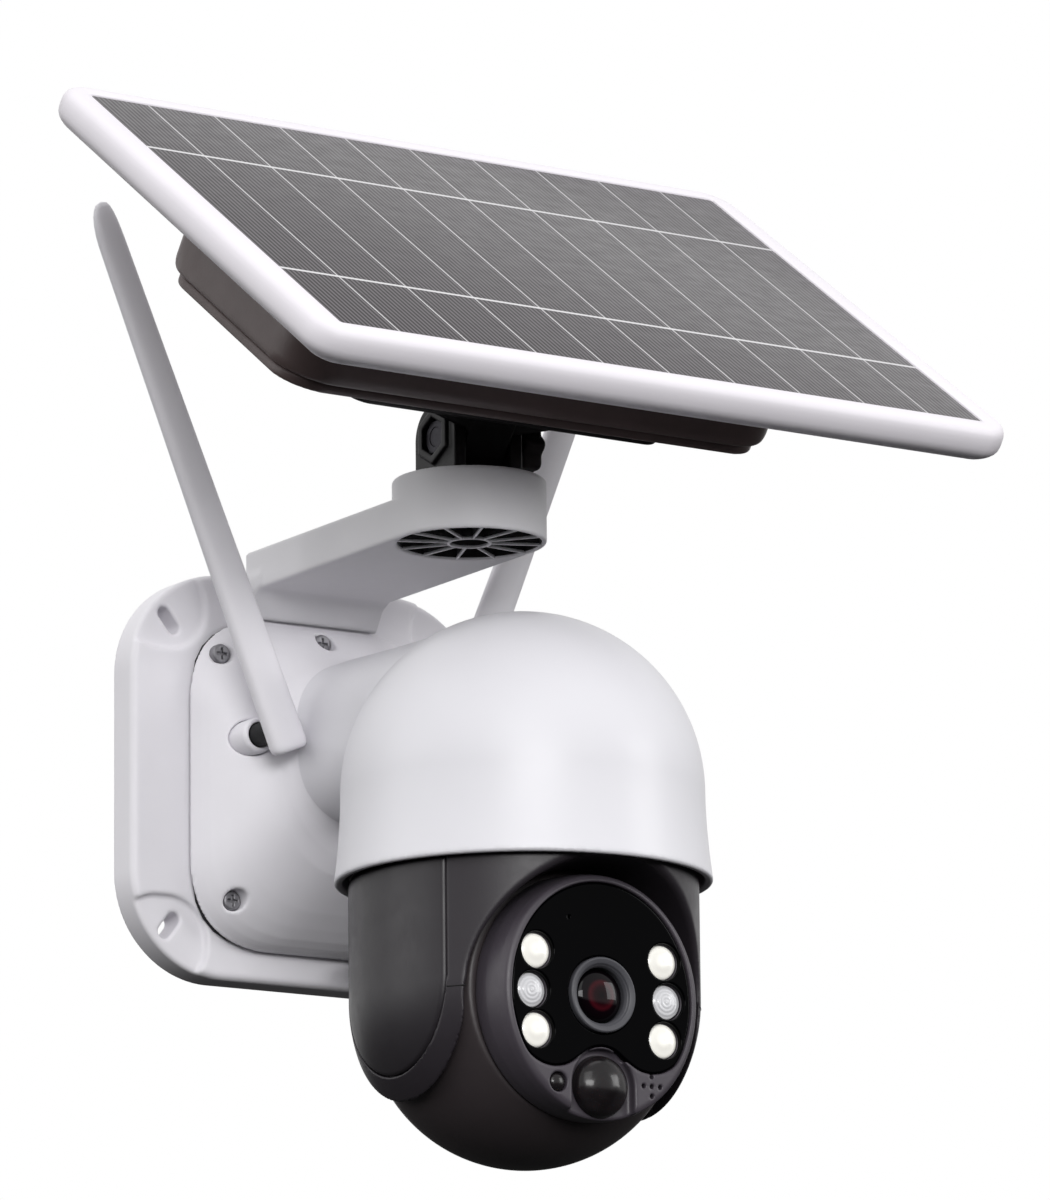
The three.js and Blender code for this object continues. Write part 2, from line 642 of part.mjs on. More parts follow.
// ---------------------------------------------------------------- solar arm
function buildArm() {
  const outline = new THREE.Shape();
  outline.moveTo(ARM_HALF, -PLATE_THICK - GAP);
  outline.lineTo(-ARM_HALF, -PLATE_THICK - GAP);
  outline.lineTo(-ARM_HALF, ARM_END_Y);
  outline.absarc(0, ARM_END_Y, ARM_HALF, Math.PI, 2 * Math.PI, false);
  outline.closePath();
  const beam = slab(outline, ARM_Z, ARM_Z + ARM_THICK, 24);
  const cup = rod(ARM_HALF, ARM_Z + 2, CUP_TOP, 48).translate(0, ARM_END_Y, 0);
  const wall = -PLATE_THICK - GAP;
  const wedge = [[52.6, wall], [52.6, -14.4], [58, -18], [ARM_Z + 1, -20], [ARM_Z + 1, wall]];
  const heel = earSlab(polygonShape(wedge), -ARM_HALF, ARM_HALF);
  const well = rod(21, CUP_TOP - 6, CUP_TOP + 5, 40).translate(0, ARM_END_Y, 0);
  const ribs = [cut(rod(7.3, ARM_Z - 1, ARM_Z + 9, 24), rod(6.1, ARM_Z - 2, ARM_Z + 9.5, 24))];
  for (let i = 0; i < 6; i++) {
    const length = 24;
    const rib = cut(brick(-length, length, -0.45, 0.45, ARM_Z - 1, ARM_Z + 9),
      rod(6.6, ARM_Z - 2, ARM_Z + 10, 24));
    ribs.push(rib.rotateZ(rad(i * 30 + 8)));
  }
  const fan = cut(rod(23.2, ARM_Z - 1, ARM_Z + 8, 48), ...ribs).translate(0, ARM_END_Y, 0);
  const centre = rod(3.4, ARM_Z, CUP_TOP, 20).translate(0, ARM_END_Y, 0);
  return cut(join(beam, cup, heel), well, fan, centre);
}
piece(base, "solar_arm", buildArm(), whiteShell);

// ---------------------------------------------------------------- panel bracket
const swivel = group("swivel", product, [0, ARM_END_Y, 0]);
swivel.rotation.z = rad(PANEL_YAW);

function buildFork() {
  const foot = turned([[0, 79.8], [19.4, 79.8], [20.6, 78.6], [20.6, CUP_TOP - 5.7],
    [0, CUP_TOP - 5.7]], 40);
  const spigot = rod(3.1, 64.5, 77, 20);
  const parts = [foot, spigot];
  for (const side of [-1, 1]) {
    const ear = new THREE.Shape();
    ear.moveTo(79, -11.5);
    ear.lineTo(PIVOT_Z, -11.5);
    ear.absarc(PIVOT_Z, 0, 11.5, rad(270), rad(450), false);
    ear.lineTo(79, 11.5);
    ear.closePath();
    const plate = earSlab(ear, FORK_INNER, FORK_OUTER);
    parts.push(side < 0 ? plate.rotateZ(Math.PI) : plate);
  }
  const boss = sideways(rod(9, -14.3, -12, 6)).translate(0, 0, PIVOT_Z);
  const gusset = slab(polygonShape([[12, 79], [19.2, 79], [12, 84]]), -6, 6)
    .rotateX(Math.PI / 2);
  const bore = sideways(rod(BOLT_R + 0.3, -30, 30, 24)).translate(0, 0, PIVOT_Z);
  const nutSeat = sideways(rod(6.15, -20, -10.3, 6)).translate(0, 0, PIVOT_Z);
  return cut(join(...parts, boss, gusset), bore, nutSeat);
}
piece(swivel, "panel_fork", buildFork(), bracketBlack);
piece(swivel, "swivel_nut", cut(rod(5.4, 65.4, 69, 6), rod(3.3, 60, 70, 20)), steel);

const knob = group("knob", swivel, [0, 0, PIVOT_Z]);
piece(knob, "pivot_bolt",
  join(sideways(rod(BOLT_R, -12.6, 17, 24)), sideways(rod(4.6, 13.3, 15, 6))), steel);
piece(swivel, "pivot_nut",
  cut(sideways(rod(5.8, -12.8, -10.6, 6)), sideways(rod(BOLT_R + 0.2, -20, 0, 24)))
    .translate(0, 0, PIVOT_Z),
  steel);

function buildKnob() {
  const lobes = 8;
  const points = Array.from({ length: lobes * 4 }, (_, i) => {
    const angle = (2 * Math.PI * i) / (lobes * 4);
    const radius = 9.6 + 0.7 * Math.cos(lobes * angle);
    return [radius * Math.cos(angle), radius * Math.sin(angle)];
  });
  const grip = slab(polygonShape(points), 15.3, 23);
  const neck = rod(6, 13.6, 16, 24);
  const seat = join(rod(BOLT_R + 0.2, 10, 17.4, 24), rod(4.8, 10, 15.2, 6));
  return sideways(cut(join(grip, neck), seat));
}
piece(knob, "clamp_knob", buildKnob(), boxBrown);

// ---------------------------------------------------------------- solar panel
const panel = group("panel", swivel, [0, 0, PIVOT_Z]);
panel.rotation.x = rad(PANEL_TILT);

function buildFoot() {
  const plate = block(FOOT_HALF[0], FOOT_HALF[1], 7,
    [[FOOT_BOTTOM, 1.2], [FOOT_BOTTOM + 1.2, 0], [LID_BOTTOM - GAP, 0]], 4);
  const eye = new THREE.Shape();
  eye.moveTo(15, -EYE_R);
  eye.lineTo(0, -EYE_R);
  eye.absarc(0, 0, EYE_R, rad(270), rad(90), true);
  eye.lineTo(15, EYE_R);
  eye.closePath();
  const tongue = earSlab(eye, -FORK_INNER + GAP, FORK_INNER - GAP);
  return cut(join(plate, tongue), sideways(rod(BOLT_R + 0.3, -20, 20, 24)));
}
piece(panel, "panel_foot", buildFoot(), bracketBlack);

const atBox = (geometry) => moved(geometry, BOX_X, BOX_Y, 0);
function buildLid() {
  return atBox(block(BOX_HALF_X - 2.5, BOX_HALF_Y - 4.5, 14,
    [[LID_BOTTOM, 1], [LID_BOTTOM + 0.8, 0.2], [LID_BOTTOM + 1.6, 0], [LID_TOP, 0]]));
}
piece(panel, "box_lid", buildLid(), boxBrown);

const frameBottom = PANEL_TOP - FRAME_THICK;
function buildBox() {
  const top = frameBottom - GAP;
  const outer = block(BOX_HALF_X, BOX_HALF_Y, 18,
    [[LID_TOP + GAP, 2.2], [LID_TOP + 1.4, 0.6], [LID_TOP + 3, 0], [top, 0]]);
  const inner = block(BOX_HALF_X - 5.5, BOX_HALF_Y - 5.5, 12.5, [[LID_TOP - 1, 0], [top - 4, 0]]);
  const outlet = rod(OUTLET_R, 30, 70, 20).rotateX(rad(-90)).translate(OUTLET_X, 0, OUTLET_Z);
  return cut(atBox(outer), atBox(inner), moved(outlet, 0, BOX_Y, 0));
}
piece(panel, "box_body", buildBox(), boxBrown);

// Capped power outlet in the box's rear wall.
function buildSocket() {
  const cap = turned([[0, 5.2], [4.6, 5.2], [5.6, 4.4], [5.6, 0.3], [OUTLET_R - GAP, 0.3],
    [OUTLET_R - GAP, -6], [0, -6]], 24);
  return cap.rotateX(rad(-90)).translate(OUTLET_X, BOX_Y + BOX_HALF_Y, OUTLET_Z);
}
piece(panel, "panel_socket", buildSocket(), rubber);

for (let i = 0; i < 3; i++) {
  const cell = sideways(rod(BATTERY_R, -BATTERY_LENGTH / 2, BATTERY_LENGTH / 2, 24));
  const y = BOX_Y + (i - 1) * (2 * BATTERY_R + 1.2) - 12;
  piece(panel, `battery_cell_${i + 1}`, cell.translate(-40, y, LID_TOP + 1 + BATTERY_R),
    batteryWrap);
}
piece(panel, "charge_board",
  block(32, 26, 2, [[LID_TOP + 8, 0], [LID_TOP + 9.6, 0]], 2).translate(38, BOX_Y - 6, 0),
  boardGreen);

const atFrame = (geometry) => moved(geometry, 0, FRAME_Y, 0);
const glassBottom = PANEL_TOP - 3;
function buildFrame() {
  const outer = block(FRAME_HALF_X, FRAME_HALF_Y, 12,
    [[frameBottom, 6.4], [frameBottom + 1.2, 3.8], [frameBottom + 2.6, 1.8], [frameBottom + 4.6, 0.3],
      [frameBottom + 7.6, 0], [PANEL_TOP - 2, 0.5], [PANEL_TOP - 0.7, 1.6], [PANEL_TOP, 3]]);
  const opening = block(CELLS_HALF_X - 4, CELLS_HALF_Y - 4, 3,
    [[frameBottom - 1, 0], [PANEL_TOP + 1, 0]], 3);
  const rebate = block(CELLS_HALF_X + GAP, CELLS_HALF_Y + GAP, 1.2,
    [[glassBottom - GAP, 0], [PANEL_TOP + 1, 0]], 3);
  const seat = block(CELLS_HALF_X + GAP, CELLS_HALF_Y + GAP, 3,
    [[frameBottom - 1, 0], [frameBottom + 2.3, 0]], 3);
  return cut(atFrame(outer), atFrame(opening), atFrame(rebate), atFrame(seat));
}
piece(panel, "panel_frame", buildFrame(), whiteShell);
piece(panel, "solar_cells", atFrame(block(CELLS_HALF_X, CELLS_HALF_Y, 1,
  [[glassBottom, 0], [PANEL_TOP - 0.4, 0]], 3)), cellGlass);
piece(panel, "back_sheet", atFrame(block(CELLS_HALF_X, CELLS_HALF_Y, 2.8,
  [[frameBottom, 0], [frameBottom + 2, 0]], 3)), whiteShell);

// ---------------------------------------------------------------- antennas
// The blade's section at a height: an oval flattened towards the wall.
function bladeRing(z, halfWidth, halfDepth, shift = 0) {
  const points = roundedRect(halfWidth, halfDepth, halfDepth * 0.8, 3);
  return [z, points.map((p) => v2(p.x + shift, p.y))];
}

for (const [name, side] of [["left", -1], ["right", 1]]) {
  const antenna = group(`antenna_${name}`, product, [side * BLADE_X, BLADE_Y, BLADE_Z]);
  antenna.rotation.y = side * rad(BLADE_LEAN);
  const inwards = side * -BLADE_SHIFT;
  const blade = loft([
    bladeRing(-8, 5.2, 2.8, inwards),
    bladeRing(-7.2, 6.1, 3.3, inwards),
    bladeRing(-5.4, 6.7, 3.5, inwards),
    bladeRing(20, 6.5, 3.4, inwards),
    bladeRing(90, 5.6, 3, inwards),
    bladeRing(BLADE_LENGTH - 14, 4.8, 2.5, inwards),
    bladeRing(BLADE_LENGTH - 7, 4.5, 2.4, inwards),
    bladeRing(BLADE_LENGTH - 3, 3.9, 2.1, inwards - side * 0.4),
    bladeRing(BLADE_LENGTH - 1.2, 2.7, 1.5, inwards - side * 0.9),
    bladeRing(BLADE_LENGTH - 0.4, 1.2, 0.8, inwards - side * 1.2),
  ]);
  const stub = outward(turned([[0, 44], [3.8, 44], [3.8, 23.4], [0, 23.4]], 24));
  piece(antenna, `antenna_blade_${name}`, join(blade, stub.translate(0, -BLADE_Y, 0)),
    whiteShell);
}

export default product;
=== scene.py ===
# Solar-powered pan and tilt security camera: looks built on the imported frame.
# Shapes are worked out in millimetres in the frame's axes and stored in metres.
import math

import bpy
import numpy as np
from mathutils import Matrix, Vector


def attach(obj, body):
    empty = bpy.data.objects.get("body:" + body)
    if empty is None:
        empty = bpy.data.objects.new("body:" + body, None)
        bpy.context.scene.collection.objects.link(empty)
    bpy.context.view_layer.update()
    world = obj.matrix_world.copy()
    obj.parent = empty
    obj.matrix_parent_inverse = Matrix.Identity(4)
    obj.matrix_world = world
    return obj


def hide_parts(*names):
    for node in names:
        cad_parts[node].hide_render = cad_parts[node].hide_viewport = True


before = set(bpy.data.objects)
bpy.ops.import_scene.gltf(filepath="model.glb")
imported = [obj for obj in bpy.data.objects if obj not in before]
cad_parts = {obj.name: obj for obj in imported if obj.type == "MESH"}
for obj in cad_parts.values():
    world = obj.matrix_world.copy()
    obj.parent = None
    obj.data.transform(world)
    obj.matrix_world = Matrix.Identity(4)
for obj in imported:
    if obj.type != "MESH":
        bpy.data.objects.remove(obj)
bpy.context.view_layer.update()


# ---------------------------------------------------------------- dimensions, as in the CAD
PLATE_HALF, PLATE_THICK, PLATE_CORNER = 66.5, 12.6, 34
PAD_MID, PAD_HALF, PAD_DEPTH, PAD_CORNER = (55, 55), (16, 14.5), 2, 14
SLOT_AT, SLOT_HALF, SLOT_TURN = (51.9, 50), (5, 2.3), math.radians(52)
HOUSING_HALF_X, HOUSING_HALF_Z, HOUSING_Z = 46.5, 54, -2.5
HOUSING_SCREWS = [(-38, 38.6), (38, 38.6), (-34.2, -42), (34.2, -42), (0, 45.6)]
INLET_X, SOCKET_R = 21, 5.8
HOUSING_BACK, SCREW_SEAT = 14.6, 18.5
NECK_HALF_X, NECK_LOW, NECK_HIGH, NECK_START = 21.4, 2.5, 14.5, 24
DOME_Y, DOME_R, DOME_CENTRE_Z, RIM_Z = -140.5, 56.8, -23.9, -52.8
TILT_Z, HEAD_R, HEAD_TOP, EAR_R, COVER_R = -92.6, 54.5, -50.5, 36.8, 28.2
EAR_Z, EAR_INNER_X = TILT_Z + 4.5, 42
HEAD_Z = TILT_Z + 3
BALL_R, BALL_HALF_X, FACE_DEPTH, FACE_DROP, HATCH_TURN = 49.2, 41.5, 43.8, 1.2, -125
LED_R = 5.75
LED_SPOTS = [(-23, 12.2), (-24.5, 0), (-23, -12.2), (23, 12.2), (24.5, 0), (23, -12.2)]
PIR_AT, SENSOR_AT, SPEAKER_AT = (0, -28), (-16.3, -27.9), (17.5, -27)
ARM_HALF, ARM_Z, ARM_THICK, ARM_END_Y, CUP_TOP = 24.5, 61.4, 13.3, -110.7, 81.7
PIVOT_Z, FORK_INNER, FORK_OUTER, EYE_R = 94.8, 8.5, 13, 10.5
PANEL_YAW, PANEL_TILT, PANEL_TOP, FRAME_THICK = 1.9, 36.05, 64.8, 12.6
FRAME_HALF_X, FRAME_HALF_Y, FRAME_Y = 130, 97.5, -1
CELLS_HALF_X, CELLS_HALF_Y = 120.15, 88.7
BOX_HALF_X, BOX_HALF_Y, BOX_X, BOX_Y = 93, 49.5, -1.5, 13.5
LID_BOTTOM, LID_TOP, FOOT_BOTTOM, FOOT_HALF = 20, 23.7, 14, (59, 18.5)
LID_SCREW_X, LID_SCREW_Y, LID_SCREW_SCALE = 78, 33, 0.66
BLADE_X, BLADE_Y, BLADE_Z, BLADE_LEAN, BLADE_LENGTH, BLADE_SHIFT = 32, -46.3, 10, 22.4, 178, 1.2


# ---------------------------------------------------------------- frames of the moving groups
def moved(x, y, z):
    return Matrix.Translation((x, y, z))


def turned(degrees, axis):
    return Matrix.Rotation(math.radians(degrees), 4, axis)


SWIVEL = moved(0, ARM_END_Y, 0) @ turned(PANEL_YAW, "Z")
PANEL = SWIVEL @ moved(0, 0, PIVOT_Z) @ turned(PANEL_TILT, "X")
PIVOT = SWIVEL @ moved(0, 0, PIVOT_Z) @ turned(90, "Y")
BALL = moved(0, DOME_Y, TILT_Z)
HEAD = moved(0, DOME_Y, 0)
# Face features are drawn in x (right), y (up) and z (out of the face).
FACE = BALL @ moved(0, 0, -FACE_DROP) @ turned(90, "X")
WALL = turned(90, "X")
REST = Matrix.Identity(4)


# ---------------------------------------------------------------- mesh helpers
def make(name, shape, body, material, at=REST, nodes=(), sharp=None):
    """A mesh piece from points in millimetres; it rides on a body and may stand for CAD nodes."""
    verts, faces = shape
    mesh = bpy.data.meshes.new(name)
    mesh.from_pydata([tuple(v) for v in verts], [], [tuple(f) for f in faces])
    mesh.transform(Matrix.Scale(0.001, 4) @ at)
    mesh.validate()
    mesh.polygons.foreach_set("use_smooth", [True] * len(mesh.polygons))
    if sharp:
        mesh.set_sharp_from_angle(angle=math.radians(sharp))
    mesh.update()
    piece = bpy.data.objects.new(name, mesh)
    bpy.context.scene.collection.objects.link(piece)
    mesh.materials.append(material)
    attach(piece, body)
    if nodes:
        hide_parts(*nodes)
    return piece


def loft(rings, cap_first=True, cap_last=True):
    """Closed rings of equal length, joined in order."""
    count = len(rings[0])
    verts = [p for ring in rings for p in ring]
    faces = []
    for k in range(len(rings) - 1):
        for i in range(count):
            j = (i + 1) % count
            faces.append((k * count + i, k * count + j, (k + 1) * count + j, (k + 1) * count + i))
    if cap_first:
        faces.append(tuple(reversed(range(count))))
    if cap_last:
        last = (len(rings) - 1) * count
        faces.append(tuple(range(last, last + count)))
    return verts, faces


def lathe(profile, sides=96):
    """A turned shape about z from (radius, height) points, from the bottom up the outside."""
    verts, faces, rows = [], [], []
    for r, z in profile:
        if r < 1e-6:
            rows.append([len(verts)])
            verts.append((0, 0, z))
            continue
        rows.append(list(range(len(verts), len(verts) + sides)))
        for i in range(sides):
            a = 2 * math.pi * i / sides
            verts.append((r * math.cos(a), r * math.sin(a), z))
    for low, high in zip(rows, rows[1:]):
        for i in range(sides):
            j = (i + 1) % sides
            if len(low) == 1 and len(high) == 1:
                continue
            if len(low) == 1:
                faces.append((low[0], high[j], high[i]))
            elif len(high) == 1:
                faces.append((low[i], low[j], high[0]))
            else:
                faces.append((low[i], low[j], high[j], high[i]))
    return verts, faces


def rounded(profile, radius=0.4, steps=4):
    """A profile with its inner corners rounded."""
    points = [Vector(p) for p in profile]
    out = [tuple(points[0])]
    for before, corner, after in zip(points, points[1:], points[2:]):
        a, b = before - corner, after - corner
        reach = min(radius, a.length * 0.45, b.length * 0.45)
        if a.length < 1e-6 or b.length < 1e-6:
            out.append(tuple(corner))
            continue
        start, end = corner + a.normalized() * reach, corner + b.normalized() * reach
        for i in range(steps + 1):
            t = i / steps
            p = start * (1 - t) ** 2 + corner * 2 * t * (1 - t) + end * t * t
            out.append(tuple(p))
    out.append(tuple(points[-1]))
    return out


# ---------------------------------------------------------------- shapes from distance fields
def smin(a, b, k):
    h = np.maximum(k - np.abs(a - b), 0) / k
    return np.minimum(a, b) - h * h * k / 4


def smax(a, b, k):
    return -smin(-a, -b, k)


def length3(x, y, z):
    return np.sqrt(x ** 2 + y ** 2 + z ** 2)


def rect2(x, y, hx, hy, r=0.0):
    qx, qy = np.abs(x) - hx + r, np.abs(y) - hy + r
    return np.hypot(np.maximum(qx, 0), np.maximum(qy, 0)) + np.minimum(np.maximum(qx, qy), 0) - r


def slab2(d, z, low, high, r=0.5):
    """The outline field d made solid between two heights, with rounded edges."""
    return rect2_signed(d, np.maximum(low - z, z - high), r)


def rect2_signed(a, b, r):
    a, b = a + r, b + r
    return np.hypot(np.maximum(a, 0), np.maximum(b, 0)) + np.minimum(np.maximum(a, b), 0) - r


def net(field, low, high, step):
    """The surface where the field is zero, as points and quads."""
    low, high = np.array(low, float) - step, np.array(high, float) + step
    n = np.ceil((high - low) / step).astype(int) + 1
    axes = [low[i] + step * np.arange(n[i]) for i in range(3)]
    value = np.empty(n, np.float32)
    for i in range(0, n[0], 24):
        x, y, z = np.meshgrid(axes[0][i:i + 24], axes[1], axes[2], indexing="ij")
        value[i:i + 24] = field(x, y, z)
    inside = value < 0
    count = np.zeros(n - 1, np.int8)
    corners = [(i, j, k) for i in (0, 1) for j in (0, 1) for k in (0, 1)]
    for i, j, k in corners:
        count += inside[i:n[0] - 1 + i, j:n[1] - 1 + j, k:n[2] - 1 + k]
    mixed = (count > 0) & (count < 8)
    cells = np.argwhere(mixed)
    number = np.full(n - 1, -1, np.int64)
    number[mixed] = np.arange(len(cells))
    total, hits = np.zeros((len(cells), 3)), np.zeros(len(cells))
    for a in corners:
        for axis in range(3):
            if a[axis]:
                continue
            b = list(a)
            b[axis] = 1
            va = value[tuple((cells + a).T)]
            vb = value[tuple((cells + b).T)]
            cross = (va < 0) != (vb < 0)
            t = va[cross] / (va[cross] - vb[cross])
            point = np.tile(np.array(a, float), (len(t), 1))
            point[:, axis] += t
            total[cross] += point
            hits[cross] += 1
    points = low + step * (cells + total / hits[:, None])
    quads = []
    for axis in range(3):
        u, v = (axis + 1) % 3, (axis + 2) % 3
        ahead = [slice(None)] * 3
        ahead[axis] = slice(1, None)
        behind = [slice(None)] * 3
        behind[axis] = slice(0, -1)
        change = inside[tuple(behind)] != inside[tuple(ahead)]
        at = np.argwhere(change)
        ok = (at[:, u] > 0) & (at[:, v] > 0) & (at[:, u] < n[u] - 1) & (at[:, v] < n[v] - 1)
        at = at[ok]
        out = inside[tuple(at.T)]
        ring = []
        for du, dv in ((1, 1), (0, 1), (0, 0), (1, 0)):
            cell = at.copy()
            cell[:, u] -= du
            cell[:, v] -= dv
            ring.append(number[tuple(cell.T)])
        quad = np.stack(ring, 1)
        quad[~out] = quad[~out][:, ::-1]
        quads.append(quad)
    quads = np.concatenate(quads)
    points = settle(field, points, step)
    return points, quads


def settle(field, points, step):
    """Moves points onto the zero surface of the field."""
    e = step * 0.08
    for _ in range(3):
        slope = np.empty_like(points)
        for axis in range(3):
            shift = np.zeros(3)
            shift[axis] = e
            ahead, behind = points + shift, points - shift
            slope[:, axis] = (field(*ahead.T) - field(*behind.T)) / (2 * e)
        length2 = np.maximum((slope ** 2).sum(1), 1e-3)
        move = slope * (field(*points.T) / length2)[:, None]
        size = np.linalg.norm(move, axis=1)
        move *= np.minimum(1, 0.4 * step / np.maximum(size, 1e-9))[:, None]
        points = points - move
    return points


# ---------------------------------------------------------------- materials
def linear(hex_colour):
    """Linear colour from an sRGB hex string."""
    parts = [int(hex_colour[i:i + 2], 16) / 255 for i in (0, 2, 4)]
    return [c / 12.92 if c <= 0.04045 else ((c + 0.055) / 1.055) ** 2.4 for c in parts]


def colour_stops(node, stops):
    """Fills a colour ramp from (position, (red, green, blue)) pairs."""
    elements = node.color_ramp.elements
    for i, (at, colour) in enumerate(stops):
        element = elements[i] if i < 2 else elements.new(at)
        element.position = at
        element.color = (*colour, 1)


class Nodes:
    """A short way to write a node tree."""

    def __init__(self, name, owner=None, shader="Principled BSDF"):
        self.material = owner or bpy.data.materials.new(name)
        self.material.use_nodes = True
        self.tree = self.material.node_tree
        self.shader = self.tree.nodes[shader]

    def add(self, kind, **values):
        node = self.tree.nodes.new(kind)
        for key, value in values.items():
            setattr(node, key, value)
        return node

    def link(self, source, target):
        self.tree.links.new(source, target)

    def math(self, operation, a, b=None, c=None):
        node = self.add("ShaderNodeMath", operation=operation)
        for socket, value in zip(node.inputs, (a, b, c)):
            if value is None:
                continue
            if isinstance(value, (int, float)):
                socket.default_value = value
            else:
                self.link(value, socket)
        return node.outputs[0]

    def set(self, **values):
        """Plain values on the shader's own sockets; an underscore stands for a space."""
        for key, value in values.items():
            self.shader.inputs[key.replace("_", " ")].default_value = value

    def bump(self, height, strength, distance):
        node = self.add("ShaderNodeBump")
        node.inputs["Strength"].default_value = strength
        node.inputs["Distance"].default_value = distance
        self.link(height, node.inputs["Height"])
        self.link(node.outputs["Normal"], self.shader.inputs["Normal"])

    def split(self, vector):
        """The parts of a vector."""
        node = self.add("ShaderNodeSeparateXYZ")
        self.link(vector, node.inputs[0])
        return node.outputs

    def noise(self, vector, scale, detail=2.0, rough=0.5):
        node = self.add("ShaderNodeTexNoise")
        self.link(vector, node.inputs["Vector"])
        node.inputs["Scale"].default_value = scale
        node.inputs["Detail"].default_value = detail
        node.inputs["Roughness"].default_value = rough
        return node.outputs["Fac"]

    def ramp(self, value, low, high):
        node = self.add("ShaderNodeMapRange")
        self.link(value, node.inputs["Value"])
        node.inputs["From Min"].default_value = 0.3
        node.inputs["From Max"].default_value = 0.7
        node.inputs["To Min"].default_value = low
        node.inputs["To Max"].default_value = high
        return node.outputs["Result"]

    def mix(self, factor, a, b):
        node = self.add("ShaderNodeMix", data_type="RGBA")
        sockets = (node.inputs[0], node.inputs[6], node.inputs[7])
        for socket, value in zip(sockets, (factor, a, b)):
            if isinstance(value, (int, float)):
                socket.default_value = value
            elif isinstance(value, (list, tuple)):
                socket.default_value = (*value[:3], 1)
            else:
                self.link(value, socket)
        return node.outputs[2]


def moulded(name, colour, rough, spread=0.06, tint=0.05, grain=900, bump=0.06, coat=0.0,
            coat_rough=0.1, metallic=0.0, swirl=22, ior=1.46):
    """Moulded plastic, rubber or metal: cloudy tone, uneven gloss and a fine surface grain."""
    n = Nodes(name)
    place = n.add("ShaderNodeTexCoord").outputs["Object"]
    cloud = n.noise(place, swirl, 4.0, 0.6)
    base = linear(colour)
    dark = [c * (1 - tint) for c in base]
    light = [min(1.0, c * (1 + tint)) for c in base]
    n.link(n.mix(n.ramp(cloud, 0.0, 1.0), dark, light), n.shader.inputs["Base Color"])
    gloss = n.noise(place, swirl * 7, 5.0, 0.65)
    n.link(n.ramp(gloss, max(0.02, rough - spread), rough + spread), n.shader.inputs["Roughness"])
    fine = n.noise(place, grain, 3.0, 0.6)
    n.bump(fine, bump, 0.0002)
    n.set(Metallic=metallic, IOR=ior, Coat_Weight=coat, Coat_Roughness=coat_rough)
    return n.material


white_shell = moulded("white_shell", "eeecf1", 0.5, 0.05, 0.02, bump=0.03, coat=0.05,
                      coat_rough=0.35)
white_arm = moulded("white_arm", "e2e1e4", 0.5, 0.05, 0.02, bump=0.03)
white_gloss = moulded("white_gloss", "e4e3e8", 0.4, 0.03, 0.01, bump=0.0, coat=0.12,
                      coat_rough=0.25)
white_frame = moulded("white_frame", "eae6ec", 0.45, 0.05, 0.015, bump=0.03)
charcoal = moulded("charcoal", "2d292e", 0.42, 0.04, 0.06, grain=1500, bump=0.08)
charcoal_cover = moulded("charcoal_cover", "2b282c", 0.40, 0.04, 0.06, grain=1500, bump=0.08)
# Painted light: the ball's charcoal is lighter than the head's so that its shaded lower half reads
# lighter.
charcoal_ball_painted_light = moulded("charcoal_ball_painted_light", "3a3436", 0.44, 0.05, 0.08, grain=1500, bump=0.08)
# Painted highlight: the bezel's charcoal is lighter than the head's, standing for the highlight on
# its chamfer.
charcoal_bezel_painted_highlight = moulded("charcoal_bezel_painted_highlight", "433e45", 0.42, 0.05, 0.06, grain=1500, bump=0.08)
black_gloss = moulded("black_gloss", "020203", 0.08, 0.02, 0.2, bump=0.01, ior=1.12)
box_brown = moulded("box_brown", "625453", 0.38, 0.06, 0.1, grain=1100, bump=0.2)
bracket_black = moulded("bracket_black", "141113", 0.5, 0.07, 0.15, grain=1100, bump=0.2)
knob_brown = moulded("knob_brown", "231a1b", 0.5, 0.07, 0.12, grain=1100, bump=0.2)
# Black rubber; on the antenna stubs it is painted shade.
rubber = moulded("rubber_black_and_stub_shade", "17171a", 0.75, 0.08, 0.15, grain=700, bump=0.3)
inner_plastic = moulded("inner_plastic", "8d8f93", 0.6)
board_green = moulded("board_green", "1b4d2b", 0.45, swirl=60, tint=0.2)
steel = moulded("zinc_steel", "b9bbc0", 0.3, 0.1, 0.06, metallic=1.0, swirl=60)
dark_steel = moulded("dark_steel", "3d3c40", 0.42, 0.08, 0.1, metallic=1.0, swirl=60)
screw_steel = moulded("screw_steel", "8f8e92", 0.45, 0.08, 0.1, metallic=0.7, swirl=90)
battery_wrap = moulded("battery_wrap", "2f62a8", 0.4)
lens_ring_material = moulded("lens_ring", "4a4a4f", 0.42, 0.06, 0.08, grain=1500, bump=0.08)
# Black for the hood's seam gaps, and painted shade on the arm's rib sides and in its recess.
seam_black_and_painted_shade = moulded("seam_black_and_painted_shade", "0a0a0b", 0.7)


def lamp_material(name, colour, rough, rings, painted_glow):
    """A milky or clear lamp lens with faint moulded rings about its own axis; the rings also carry
    painted shade in the colour, and the unlit lens has a painted glow.
    """
    n = Nodes(name)
    uv = n.add("ShaderNodeUVMap").outputs[0]
    wave = n.math("SINE", n.math("MULTIPLY", n.split(uv)[0], rings))
    base = linear(colour)
    # Painted shade: the moulded rings are darkened in the base colour as well as bumped.
    tone = n.math("MULTIPLY_ADD", wave, 0.5, 0.5)
    n.link(n.mix(tone, [c * 0.86 for c in base], base), n.shader.inputs["Base Color"])
    n.bump(wave, 0.25, 0.0003)
    n.link(n.ramp(n.noise(uv, 9.0), rough * 0.7, rough * 1.3), n.shader.inputs["Roughness"])
    # Painted glow: the lamps are unlit, and the emission only makes them look brighter.
    n.set(Emission_Color=(1.0, 0.985, 0.95, 1), Emission_Strength=painted_glow)
    n.set(Coat_Weight=0.6, Coat_Roughness=0.05)
    return n.material


led_white = lamp_material("led_white", "fcfaf2", 0.22, 9, 0.14)
led_clear = lamp_material("led_clear", "d6d6da", 0.16, 30, 0.05)


